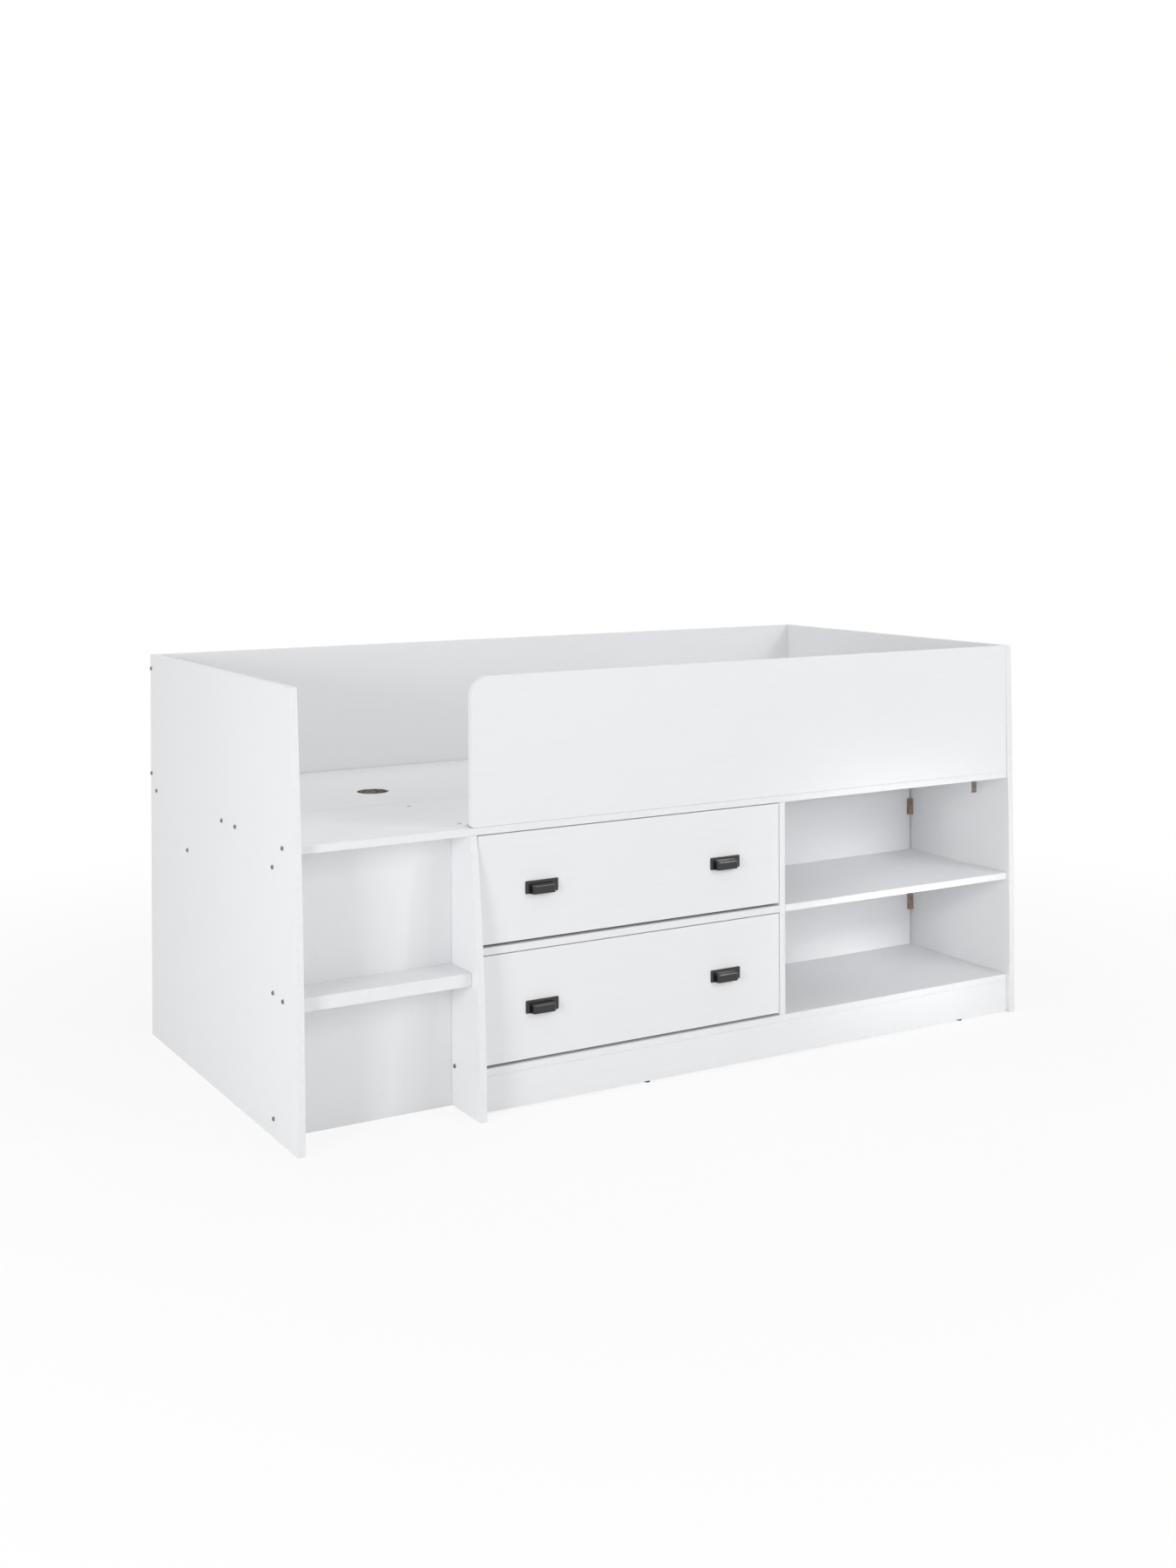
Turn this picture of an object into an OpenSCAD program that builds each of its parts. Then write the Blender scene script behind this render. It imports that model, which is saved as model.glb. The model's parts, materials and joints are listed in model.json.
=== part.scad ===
// Mid sleeper bed: a raised deck over a step nook, two drawers and two open shelf bays.
// Working frame: x from the left outer face, y from the front plane backwards, z from the floor.
// placed() moves that frame so that the origin is under the middle of the whole bed.

/* [Overall] */
// Length over the outer faces of the end panels
bed_length = 1950; // [1850:10:2150]
// Depth from the front plane to the back edges of the end panels
bed_depth = 944; // [900:2:1100]
// Height of the end panels, the guard rail and the back board
bed_height = 937; // [860:1:1050]
// Height of the top of the sleeping deck
deck_top = 615; // [580:1:680]
// Thickness of the main boards
board = 16; // [15:0.5:19]

/* [Front edges] */
// How far the left end panel's foot stands in front of the front plane
left_flare = 36.5; // [0:0.5:60]
// How far the nook divider's foot stands in front of the front plane
divider_flare = 43; // [38:0.5:70]
// How far the right end panel's foot stands in front of the front plane
right_flare = 10.5; // [0:0.5:35]

/* [Layout under the deck] */
// Clear width of the step nook
nook_width = 388; // [340:1:450]
// Clear width of the drawer bay
drawer_bay_width = 796; // [700:1:860]
// Depth of the drawer and shelf unit, from the front plane to its back panel
unit_depth = 370; // [365:1:420]
// Depth of the nook, from the front plane to its back panel
nook_depth = 92; // [80:1:120]
// Height of the underside of the bottom board
plinth_top = 81; // [60:1:110]
// Air under the plinth, which its glides fill
plinth_lift = 4; // [2:0.5:8]
// Gap between the unit's back panel and the right end panel
unit_back_gap = 3; // [1:0.5:5]

/* [Step] */
// Height of the top of the step
step_top = 309; // [250:1:360]
// Thickness of the step board
step_thickness = 28; // [18:1:38]
// How far the step's front edge stands in front of the front plane
step_overhang = 5; // [0:1:15]

/* [Deck] */
// Gap at the joint between the two deck boards
deck_joint_gap = 1; // [0.5:0.5:2]
// Diameter of the round hole in the rear deck board
hole_diameter = 76; // [50:1:100]
// Distance of the hole's centre from the left end panel's inner face
hole_from_left = 410; // [300:1:600]
// Distance of the hole's centre behind the deck joint
hole_from_joint = 187; // [90:1:215]
// Distance of the lengthwise beam's middle behind the deck joint
beam_from_joint = 280; // [260:1:320]
// Height of the lengthwise beam under the rear deck board
beam_height = 195; // [100:5:220]
// Thickness of the deck cleats
cleat_thickness = 18; // [12:1:25]
// Height of the deck cleats
cleat_height = 53; // [35:1:70]
// Gap between the nook's back panel and the left cleat, and the same line on the right
cleat_gap = 2; // [1:1:10]

/* [Guard rail] */
// How far the rail's left end stands in from the divider's left face
rail_setback = 4; // [0:0.5:12]
// Radius of the rail's upper left corner
rail_corner = 45; // [20:1:80]
// Radius of the rail's lower left corner
rail_foot_corner = 6; // [2:0.5:12]
// Width of each angle bracket behind the rail
bracket_width = 15; // [12:1:20]
// Length of each leg of the angle brackets
bracket_leg = 20; // [16:1:26]
// Thickness of the angle brackets
bracket_sheet = 2; // [1:0.5:3]

/* [Drawer fronts] */
// Gap at each side of a drawer front
front_gap_side = 2; // [1:0.5:4]
// Gap above a drawer front
front_gap_top = 2; // [1:0.5:4]
// Gap below a drawer front
front_gap_bottom = 8; // [3:0.5:12]

/* [Drawer boxes] */
// Air between each drawer side and the carcass, for the runners
runner_space = 12.5; // [12.5:0.5:16]
// Thickness of the drawer sides and back
side_thickness = 12; // [12:1:15]
// Height of the drawer sides and back
side_height = 160; // [145:1:180]
// Gap between the drawer box and the unit's back panel
box_back_gap = 18; // [12:1:18]
// Thickness of the drawer bottom
bottom_thickness = 3; // [3:0.5:6]
// Height of the drawer bottom above the lower edges of the sides
bottom_lift = 14; // [12:1:20]
// Depth of the grooves that hold the drawer bottom
groove_depth = 5; // [3:0.5:7]

/* [Handles] */
// Width of the handle plate
plate_width = 81; // [72:1:110]
// Height of the handle plate
plate_height = 28; // [26:1:40]
// Thickness of the handle plate
plate_thickness = 2; // [1.5:0.5:3]
// Corner radius of the handle plate
plate_corner = 2.5; // [1:0.5:5]
// Width of the handle cup at its plate
cup_width = 60; // [56:1:70]
// Height of the handle cup at its plate
cup_height = 22.5; // [19:0.5:25]
// How far the handle cup stands out from the drawer front
cup_reach = 15; // [14:0.5:20]
// Slope of the cup's sides and top, in degrees
cup_taper = 12; // [0:1:15]
// Wall of the handle cup
cup_wall = 1.8; // [1.2:0.1:2.5]
// Radius of the cup's front corners
cup_corner = 4; // [3:0.5:7]
// Distance of each handle's middle from the middle of the drawer front
handle_spread = 241.5; // [150:0.5:280]
// Distance of each handle's middle below the top of the drawer front
handle_drop = 122.5; // [80:0.5:150]

/* [Runners] */
// Height of each runner's lower edge above the floor of its bay
runner_lift = 20; // [16:1:26]
// Gap between the runners and the unit's back panel
runner_back_gap = 24; // [20:1:50]
// Height of the fixed runner channel
channel_height = 22; // [22:0.5:26]
// Reach of the fixed channel's flanges from the carcass
channel_reach = 9.5; // [9:0.1:10]
// Thickness of the runner steel
runner_sheet = 1.2; // [1:0.1:1.5]
// Diameter of the rollers
roller_diameter = 18; // [16:0.5:18.5]
// Width of the rollers
roller_width = 4; // [3:0.5:4.5]
// Diameter of the roller axles
axle_diameter = 5; // [4:0.5:6]
// Radial play between a roller and its axle
axle_play = 0.05; // [0.02:0.01:0.1]
// Gap between a roller and the steel it runs on
roll_gap = 0.3; // [0.2:0.05:0.4]

/* [Fasteners] */
// Shank diameter of the panel bolts
bolt_diameter = 7; // [5:0.5:8]
// Length of the panel bolts under the head
bolt_length = 50; // [40:1:60]
// Head diameter of the panel bolts
bolt_head = 11; // [10:0.5:14]
// Head height of the panel bolts
bolt_head_height = 3; // [2:0.5:4]
// Shank diameter of the board screws
screw_diameter = 4.5; // [3.5:0.5:6]
// Length of the board screws
screw_length = 48; // [40:1:60]
// Head diameter of the board screws
screw_head = 9; // [8:0.5:11]
// Shank diameter of the small screws
small_diameter = 3.5; // [3:0.5:4]
// Length of the small screws in a main board
small_length = 12; // [10:0.5:14]
// Head diameter of the small screws
small_head = 6.5; // [6:0.5:8]
// Head height of the small screws
small_head_height = 1.2; // [0.8:0.1:1.4]
// Diameter of the dowels in the carcass
dowel_diameter = 8; // [6:0.5:10]
// Diameter of the dowels in the drawer boxes
box_dowel_diameter = 6; // [4:0.5:6]
// Diameter of the plinth glides
glide_diameter = 14; // [10:1:15]
// Length of each joint block
block_length = 42; // [30:1:50]
// Width of each joint block
block_width = 13.5; // [12:0.5:18]
// Depth of each joint block
block_depth = 10; // [9:0.5:14]

/* [Hidden] */
$fn = 48;

// Colours of the finishes
white_board = [0.92, 0.92, 0.93];
black_satin = [0.09, 0.09, 0.10];
steel = [0.70, 0.71, 0.73];
dark_steel = [0.22, 0.22, 0.24];
white_nylon = [0.88, 0.88, 0.86];
brown_plastic = [0.40, 0.33, 0.27];
beech = [0.78, 0.62, 0.42];

// Small clearances and overshoots
eps = 0.01;
hole_play = 0.1;
over = 1;
edge_steps = 16;
round_steps = 64;
corner_steps = 6;

// Places along the length
left_in = board;
right_in = bed_length - board;
divider_left = left_in + nook_width;
divider_right = divider_left + board;
middle_left = divider_right + drawer_bay_width;
middle_right = middle_left + board;
divider_mid = divider_left + board / 2;
middle_mid = middle_left + board / 2;
rail_left = divider_left + rail_setback;

// Places in depth
front_reach = max(left_flare, divider_flare, right_flare);
unit_back_rear = unit_depth + board;
deck_joint = unit_depth + board / 2;
rear_deck_front = deck_joint + deck_joint_gap;
back_front = bed_depth - board;
nook_back_rear = nook_depth + board;
beam_front = deck_joint + beam_from_joint - board / 2;
cleat_front = nook_back_rear + cleat_gap;

// Heights
deck_under = deck_top - board;
floor_top = plinth_top + board;
bay_height = (deck_under - floor_top - board) / 2;
shelf_under = floor_top + bay_height;
shelf_top = shelf_under + board;
step_under = step_top - step_thickness;

// Middles of the boards
back_mid = bed_depth - board / 2;
deck_mid = deck_top - board / 2;
bottom_mid = plinth_top + board / 2;
shelf_mid = shelf_under + board / 2;
nook_mid = nook_depth + board / 2;
step_mid = (nook_depth - step_overhang) / 2;
step_mid_height = step_top - step_thickness / 2;

// How far bolts, dowels and screws stand from the edges and faces near them
top_bolt_drop = 34.5;
low_bolt_rise = 30;
deck_bolt_front = 43;
deck_bolt_before_joint = 50;
deck_bolt_behind_joint = 38;
deck_bolt_rear = 31;
nook_bolt_inset = 40;
unit_bolt_inset = 60;
bolt_before_nook_back = 14;
bolt_behind_nook_back = 42;
rear_bolt_inset = 70;
step_dowel_offset = 25;
shelf_dowel_inset = 80;
foot_dowel_front = 100;
foot_dowel_rear = 90;
glide_left_inset = 430;
glide_right_inset = 155;
cleat_screw_inset = 50;
runner_screw_front = 40;
runner_screw_rear = 60;
box_screw_inset = 30;
box_dowel_inset = 40;
deck_screw_front = 67;
deck_screw_before_joint = 51;
beam_screw_inset = 504;
back_screw_inset = 120;
back_screw_count = 5;
unit_screw_inset = 180;
unit_screw_rise = 60;
unit_screw_offset = 110;

// Bolt places as [depth, height] on the faces that they enter
back_bolts = [[back_mid, bed_height - top_bolt_drop], [back_mid, deck_top + low_bolt_rise]];
rail_bolts = [[board / 2, bed_height - top_bolt_drop], [board / 2, deck_top + low_bolt_rise]];
front_deck_bolts = [for (y = [deck_bolt_front, deck_joint - deck_bolt_before_joint]) [y, deck_mid]];
rear_deck_bolts = [for (y = [deck_joint + deck_bolt_behind_joint, back_front - deck_bolt_rear])
    [y, deck_mid]];
beam_bolts = [[beam_front + board / 2, deck_under - beam_height / 2]];
nook_bolts = [for (z = [nook_bolt_inset, deck_under / 2, deck_under - nook_bolt_inset]) [nook_mid, z]];
step_bolts = [[step_mid, step_mid_height]];
bottom_right_bolts = [for (y = [unit_bolt_inset, unit_depth - unit_bolt_inset]) [y, bottom_mid]];
open_shelf_bolts = [for (y = [unit_bolt_inset, unit_depth - unit_bolt_inset]) [y, shelf_mid]];
bottom_left_bolts = [for (y = [nook_depth - bolt_before_nook_back, unit_depth - rear_bolt_inset])
    [y, bottom_mid]];
bay_shelf_bolts = [for (y = [nook_back_rear + bolt_behind_nook_back, unit_depth - rear_bolt_inset])
    [y, shelf_mid]];
left_bolts = concat(back_bolts, front_deck_bolts, rear_deck_bolts, beam_bolts, nook_bolts, step_bolts);
right_bolts = concat(back_bolts, front_deck_bolts, rear_deck_bolts, beam_bolts, rail_bolts,
    bottom_right_bolts, open_shelf_bolts);
divider_bolts = concat(bottom_left_bolts, bay_shelf_bolts);

// Dowels
dowel_deep = 20;
dowel_shallow = 10;
step_dowels = [for (y = [step_mid - step_dowel_offset, step_mid + step_dowel_offset]) [y, step_mid_height]];
divider_dowels = concat(nook_bolts, step_dowels);
shelf_dowels = [for (y = [shelf_dowel_inset, unit_depth - shelf_dowel_inset]) [y, shelf_mid]];
foot_dowel_ys = [foot_dowel_front, unit_depth - foot_dowel_rear];

// Board screws
deck_screw_ys = [deck_screw_front, deck_joint - deck_screw_before_joint];
deck_screws = [for (x = [divider_mid, middle_mid], y = deck_screw_ys) [x, y]];
beam_screw_xs = [left_in + beam_screw_inset, bed_length / 2, right_in - beam_screw_inset];
beam_screws = [for (x = beam_screw_xs) [x, beam_front + board / 2]];
back_screw_pitch = (right_in - left_in - 2 * back_screw_inset) / (back_screw_count - 1);
back_screw_xs = [for (i = [0:back_screw_count - 1]) left_in + back_screw_inset + i * back_screw_pitch];
back_screws = [for (x = back_screw_xs) [x, deck_mid]];
divider_screw_zs = [unit_screw_rise, shelf_under - unit_screw_offset, shelf_top + unit_screw_offset];
middle_screw_zs = [shelf_under - unit_screw_offset, shelf_top + unit_screw_offset];
bay_screw_xs = [divider_right + unit_screw_inset, middle_left - unit_screw_inset];
open_screw_xs = [middle_right + unit_screw_inset, right_in - unit_screw_inset];
unit_screws = concat(
    [for (z = divider_screw_zs) [divider_mid, z]],
    [for (z = middle_screw_zs) [middle_mid, z]],
    [for (x = concat(bay_screw_xs, open_screw_xs), z = [bottom_mid, shelf_mid]) [x, z]]
);
screw_head_height = 2.8;
end_play = 1;

// Where the holes of the bolts that enter through the nook divider end
divider_bolt_end = divider_left + bolt_length + end_play;

// Panel bolt heads
bolt_dome = 7.7;
bolt_socket = 4.6;
bolt_socket_depth = 2.1;

// Small fittings
cap_rim = 0.75;
cap_diameter = screw_head + 2 * cap_rim;
cap_height = 0.8;
glide_xs = [divider_right + glide_left_inset, right_in - glide_right_inset];
glide_y = board / 2;
glide_pin = 5;
glide_pin_height = 14;
block_drop = 4;
block_edge = 1.5;
block_head_gap = 0.4;
block_screw_inset = block_edge + small_head / 2 + block_head_gap;
block_screw_offset = 9;
block_side_middle = (block_depth - block_edge) / 2;
corner_block_zs = [for (z = [floor_top, shelf_top]) z + bay_height / 2 - block_drop];
plinth_block_count = 3;
plinth_block_pitch = (right_in - divider_right) / (plinth_block_count + 1);
plinth_block_xs = [for (i = [1:plinth_block_count]) divider_right + i * plinth_block_pitch];
bracket_count = 4;
bracket_pitch = (right_in - rail_left - bracket_width) / (bracket_count - 1);
bracket_xs = [for (i = [0:bracket_count - 1]) rail_left + bracket_width / 2 + i * bracket_pitch];
bracket_hole_inset = 6;
bracket_hole = bracket_leg - bracket_hole_inset;
cleat_screw_ys = [cleat_front + cleat_screw_inset, unit_depth - cleat_screw_inset];
cleat_screw_height = deck_under - cleat_height / 2;
cleat_screw_cover = 5;
cleat_screw_length = cleat_thickness + board - cleat_screw_cover;

// Drawer sizes
upper_floor = shelf_top;
lower_floor = floor_top;
front_left = divider_right + front_gap_side;
front_width = drawer_bay_width - 2 * front_gap_side;
front_height = bay_height - front_gap_top - front_gap_bottom;
box_left = divider_right + runner_space;
box_right = middle_left - runner_space;
box_rear = unit_depth - box_back_gap;
box_length = box_rear - board;
web_foot = 2;
side_foot = runner_lift + web_foot + runner_sheet;
groove_fit = 0.1;
drawer_mid = divider_right + drawer_bay_width / 2;

// Handle sizes
boss_diameter = 7;
boss_reach = 9;
boss_merge = 0.3;
boss_end = boss_reach + plate_thickness;
boss_spread = cup_width / 2 - cup_wall - boss_diameter / 2 - boss_end * tan(cup_taper) + boss_merge;
boss_height = (cup_height - plate_height) / 2;
handle_screw = 4;
handle_screw_depth = 7;
handle_screw_head = 7.6;
handle_screw_head_height = 2.2;

// Runner sizes, from the carcass face inwards and from the runner's lower edge upwards
front_to_runner = 2;
runner_front = board + front_to_runner;
runner_length = unit_depth - runner_back_gap - runner_front;
flange_gap = 0.8;
moving_web = runner_space - runner_sheet;
moving_top = channel_height + flange_gap;
moving_flange_start = 2;
foot_overhang = 2;
moving_foot = side_thickness + foot_overhang;
roller_inset = 12;
fixed_roller_x = 3;
moving_roller_x = 4;
fixed_roller_z = moving_top - roll_gap - roller_diameter / 2;
moving_roller_z = runner_sheet + roll_gap + roller_diameter / 2;
moving_roller_y = runner_length - roller_inset;
axle_rim = 1.5;
axle_head = axle_diameter + 2 * axle_rim;
axle_head_height = 0.8;
roller_room = 3;
top_flange_start = roller_inset + roller_diameter / 2 + roller_room;
runner_screw_ys = [roller_inset + runner_screw_front, runner_length - runner_screw_rear];
runner_screw_z = channel_height / 2;
moving_screw_cover = 2;
moving_screw_length = small_length - moving_screw_cover;

// Drawer box fastenings
box_dowel_zs = [side_foot + box_dowel_inset, side_foot + side_height - box_dowel_inset];
box_dowel_deep = 22;
box_dowel_shallow = 8;
back_screw_zs = [side_foot + box_screw_inset, side_foot + side_height - box_screw_inset];
back_screw_length = 30;

// Moves the working frame to the bed's own frame
module placed() {
    translate([-bed_length / 2, (front_reach - bed_depth) / 2, 0]) children();
}

// A rectangular board between two opposite corners
module slab(low, high) {
    translate(low) cube(high - low);
}

// A round bar along x, y or z from a start point, for shanks and for the holes that take them
module bar_x(start, length, diameter) {
    translate(start) rotate([0, 90, 0]) cylinder(d = diameter, h = length);
}
module bar_y(start, length, diameter) {
    translate(start) rotate([-90, 0, 0]) cylinder(d = diameter, h = length);
}
module bar_z(start, length, diameter) {
    translate(start) cylinder(d = diameter, h = length);
}

// Points of a front edge that leans back from a foot in front of the front plane, as one large arc
function arc_radius(flare, height) = (height * height + flare * flare) / (2 * flare);
function edge_depth(flare, height, z) = flare < eps ? 0 :
    arc_radius(flare, height) - flare - sqrt(pow(arc_radius(flare, height), 2) - z * z);
function front_edge(flare, height) = [for (i = [0:edge_steps])
    [edge_depth(flare, height, height * i / edge_steps), height * i / edge_steps]];

// An upright panel with a flared front edge
module flared_panel(x, flare, rear, height) {
    outline = concat(front_edge(flare, height), [[rear, height], [rear, 0]]);
    translate([x, 0, 0]) rotate([90, 0, 90]) linear_extrude(height = board) polygon(outline);
}

// A domed panel bolt with a six-sided socket, its head's underside at x = 0 and its shank towards +x
module panel_bolt() {
    difference() {
        union() {
            bar_x([0, 0, 0], bolt_length, bolt_diameter);
            translate([-bolt_head_height / 2, 0, 0]) rotate([0, 90, 0])
                cylinder(d = bolt_head, h = bolt_head_height / 2);
            translate([-bolt_head_height, 0, 0]) rotate([0, 90, 0])
                cylinder(d1 = bolt_dome, d2 = bolt_head, h = bolt_head_height / 2);
        }
        translate([-bolt_head_height - over, 0, 0]) rotate([0, 90, 0])
            cylinder(d = bolt_socket, h = bolt_socket_depth + over, $fn = 6);
    }
}

// The bolts at a list of [depth, height] places on a face at x
module bolts_right(places, x) {
    for (p = places) translate([x, p[0], p[1]]) panel_bolt();
}
module bolts_left(places, x) {
    for (p = places) translate([x, p[0], p[1]]) mirror([1, 0, 0]) panel_bolt();
}

// Holes along x at a list of [depth, height] places
module holes_x(places, start, end, diameter) {
    for (p = places) bar_x([start, p[0], p[1]], end - start, diameter + 2 * hole_play);
}

// Bolt holes in a board that runs from one end panel to the other
module end_bolt_holes(places) {
    holes_x(places, left_in - over, bolt_length + end_play, bolt_diameter);
    holes_x(places, bed_length - bolt_length - end_play, right_in + over, bolt_diameter);
}

// A countersunk screw along +z from its flat head at z = 0
module countersunk(diameter, length, head, play) {
    cylinder(d = diameter + 2 * play, h = length + (play > 0 ? end_play : 0));
    cylinder(d1 = head + 2 * play, d2 = diameter + 2 * play, h = screw_head_height);
    if (play > 0) translate([0, 0, -over]) cylinder(d = head + 2 * play, h = over + eps);
}

// Board screws in the three directions in which they are driven
module screws_down(places, z, play = 0) {
    for (p = places) translate([p[0], p[1], z]) rotate([180, 0, 0])
        countersunk(screw_diameter, screw_length, screw_head, play);
}
module screws_forward(places, y, play = 0) {
    for (p = places) translate([p[0], y, p[1]]) rotate([90, 0, 0])
        countersunk(screw_diameter, screw_length, screw_head, play);
}

// A pan-head screw along +z with its head's underside at z = 0
module small_screw(length) {
    cylinder(d = small_diameter, h = length);
    translate([0, 0, -small_head_height]) cylinder(d = small_head, h = small_head_height);
}

// A hole for a small screw along +z
module small_hole(length) {
    translate([0, 0, -over]) cylinder(d = small_diameter + 2 * hole_play, h = length + over + end_play);
}
module small_fixing(length, hole) {
    if (hole) small_hole(length);
    else small_screw(length);
}

// Small screws, or their holes, at each kind of fitting
module bracket_fixings(hole) {
    for (x = bracket_xs) {
        translate([x, board + bracket_hole, deck_top + bracket_sheet]) rotate([180, 0, 0])
            small_fixing(small_length, hole);
        translate([x, board + bracket_sheet, deck_top + bracket_hole]) rotate([90, 0, 0])
            small_fixing(small_length, hole);
    }
}
module block_fixings(hole) {
    corner_x = right_in - block_width;
    plinth_z = plinth_top - block_width;
    for (z = corner_block_zs) {
        translate([corner_x + block_screw_inset, unit_depth - block_depth, z + block_screw_offset])
            rotate([-90, 0, 0]) small_fixing(block_depth + small_length, hole);
        translate([corner_x, unit_depth - block_side_middle, z - block_screw_offset])
            rotate([0, 90, 0]) small_fixing(block_width + small_length, hole);
    }
    for (x = plinth_block_xs) {
        translate([x + block_screw_offset, board + block_depth, plinth_z + block_screw_inset])
            rotate([90, 0, 0]) small_fixing(block_depth + small_length, hole);
        translate([x - block_screw_offset, board + block_side_middle, plinth_z])
            small_fixing(block_width + small_length, hole);
    }
}
module cleat_fixings(hole) {
    for (y = cleat_screw_ys) {
        translate([left_in + cleat_thickness, y, cleat_screw_height]) rotate([0, -90, 0])
            small_fixing(cleat_screw_length, hole);
        translate([right_in - cleat_thickness, y, cleat_screw_height]) rotate([0, 90, 0])
            small_fixing(cleat_screw_length, hole);
    }
}
module fixed_runner_fixings(hole) {
    for (floor_z = [lower_floor, upper_floor], y = runner_screw_ys) {
        z = floor_z + runner_lift + runner_screw_z;
        translate([divider_right + runner_sheet, runner_front + y, z]) rotate([0, -90, 0])
            small_fixing(small_length, hole);
        translate([middle_left - runner_sheet, runner_front + y, z]) rotate([0, 90, 0])
            small_fixing(small_length, hole);
    }
}

// End panels
module left_end_panel() {
    color(white_board) placed() difference() {
        flared_panel(0, left_flare, bed_depth, bed_height);
        holes_x(left_bolts, -over, left_in + over, bolt_diameter);
        cleat_fixings(true);
    }
}
module right_end_panel() {
    color(white_board) placed() difference() {
        flared_panel(right_in, right_flare, bed_depth, bed_height);
        holes_x(right_bolts, right_in - over, bed_length + over, bolt_diameter);
        cleat_fixings(true);
        block_fixings(true);
    }
}

// Back board behind the sleeping deck
module back_board() {
    color(white_board) placed() difference() {
        slab([left_in, back_front, deck_under], [right_in, bed_depth, bed_height]);
        end_bolt_holes(back_bolts);
        screws_forward(back_screws, bed_depth, hole_play);
    }
}

// Guard rail, with rounded corners at its left end
module rail_outline(width, height) {
    translate([rail_corner, 0]) square([width - rail_corner, height]);
    translate([0, rail_foot_corner]) square([width, height - rail_corner - rail_foot_corner]);
    translate([rail_foot_corner, 0]) square([width - rail_foot_corner, height - rail_corner]);
    translate([rail_corner, height - rail_corner]) circle(r = rail_corner, $fn = round_steps);
    translate([rail_foot_corner, rail_foot_corner]) circle(r = rail_foot_corner);
}
module guard_rail() {
    color(white_board) placed() difference() {
        translate([rail_left, board, deck_top]) rotate([90, 0, 0]) linear_extrude(height = board)
            rail_outline(right_in - rail_left, bed_height - deck_top);
        holes_x(rail_bolts, bed_length - bolt_length - end_play, right_in + over, bolt_diameter);
        bracket_fixings(true);
    }
}

// Deck boards and what carries them
module front_deck_board() {
    color(white_board) placed() difference() {
        slab([left_in, 0, deck_under], [right_in, deck_joint, deck_top]);
        end_bolt_holes(front_deck_bolts);
        screws_down(deck_screws, deck_top, hole_play);
        bracket_fixings(true);
    }
}
module rear_deck_board() {
    hole_center = [left_in + hole_from_left, deck_joint + hole_from_joint, deck_under - over];
    color(white_board) placed() difference() {
        slab([left_in, rear_deck_front, deck_under], [right_in, back_front, deck_top]);
        bar_z(hole_center, board + 2 * over, hole_diameter);
        end_bolt_holes(rear_deck_bolts);
        screws_down(beam_screws, deck_top, hole_play);
        screws_forward(back_screws, bed_depth, hole_play);
    }
}
module rear_deck_beam() {
    color(white_board) placed() difference() {
        slab([left_in, beam_front, deck_under - beam_height], [right_in, beam_front + board, deck_under]);
        end_bolt_holes(beam_bolts);
        screws_down(beam_screws, deck_top, hole_play);
    }
}
module left_deck_cleat() {
    low = [left_in, cleat_front, deck_under - cleat_height];
    color(white_board) placed() difference() {
        slab(low, [left_in + cleat_thickness, unit_depth, deck_under]);
        cleat_fixings(true);
    }
}
module right_deck_cleat() {
    low = [right_in - cleat_thickness, cleat_front, deck_under - cleat_height];
    color(white_board) placed() difference() {
        slab(low, [right_in, unit_depth, deck_under]);
        cleat_fixings(true);
    }
}

// Step nook
module nook_divider() {
    color(white_board) placed() difference() {
        flared_panel(divider_left, divider_flare, unit_depth, deck_under);
        holes_x(divider_bolts, divider_left - over, divider_right + over, bolt_diameter);
        holes_x(divider_dowels, divider_left - over, divider_left + dowel_shallow, dowel_diameter);
        screws_down(deck_screws, deck_top, hole_play);
        screws_forward(unit_screws, unit_back_rear, hole_play);
        fixed_runner_fixings(true);
    }
}
module nook_back_panel() {
    color(white_board) placed() difference() {
        slab([left_in, nook_depth, 0], [divider_left, nook_back_rear, deck_under]);
        holes_x(nook_bolts, left_in - over, bolt_length + end_play, bolt_diameter);
        holes_x(nook_bolts, divider_left - dowel_deep, divider_left + over, dowel_diameter);
    }
}
module step_board() {
    color(white_board) placed() difference() {
        slab([left_in, -step_overhang, step_under], [divider_left, nook_depth, step_top]);
        holes_x(step_bolts, left_in - over, bolt_length + end_play, bolt_diameter);
        holes_x(step_dowels, divider_left - dowel_deep, divider_left + over, dowel_diameter);
    }
}

// Drawer and shelf unit
module foot_dowels(play) {
    for (y = foot_dowel_ys) bar_z([middle_mid, y, floor_top - dowel_shallow], dowel_deep + dowel_shallow,
        dowel_diameter + 2 * play);
}
module middle_divider() {
    color(white_board) placed() difference() {
        slab([middle_left, 0, floor_top], [middle_right, unit_depth, deck_under]);
        holes_x(shelf_dowels, middle_left - over, middle_right + over, dowel_diameter);
        foot_dowels(hole_play);
        screws_down(deck_screws, deck_top, hole_play);
        screws_forward(unit_screws, unit_back_rear, hole_play);
        fixed_runner_fixings(true);
    }
}
module bottom_board() {
    color(white_board) placed() difference() {
        slab([divider_right, 0, plinth_top], [right_in, unit_depth, floor_top]);
        holes_x(bottom_left_bolts, divider_right - over, divider_bolt_end, bolt_diameter);
        holes_x(bottom_right_bolts, bed_length - bolt_length - end_play, right_in + over, bolt_diameter);
        foot_dowels(hole_play);
        block_fixings(true);
        screws_forward(unit_screws, unit_back_rear, hole_play);
    }
}
module drawer_bay_shelf() {
    color(white_board) placed() difference() {
        slab([divider_right, 0, shelf_under], [middle_left, unit_depth, shelf_top]);
        holes_x(bay_shelf_bolts, divider_right - over, divider_bolt_end, bolt_diameter);
        holes_x(shelf_dowels, middle_left - dowel_deep, middle_left + over, dowel_diameter);
        screws_forward(unit_screws, unit_back_rear, hole_play);
    }
}
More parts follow.
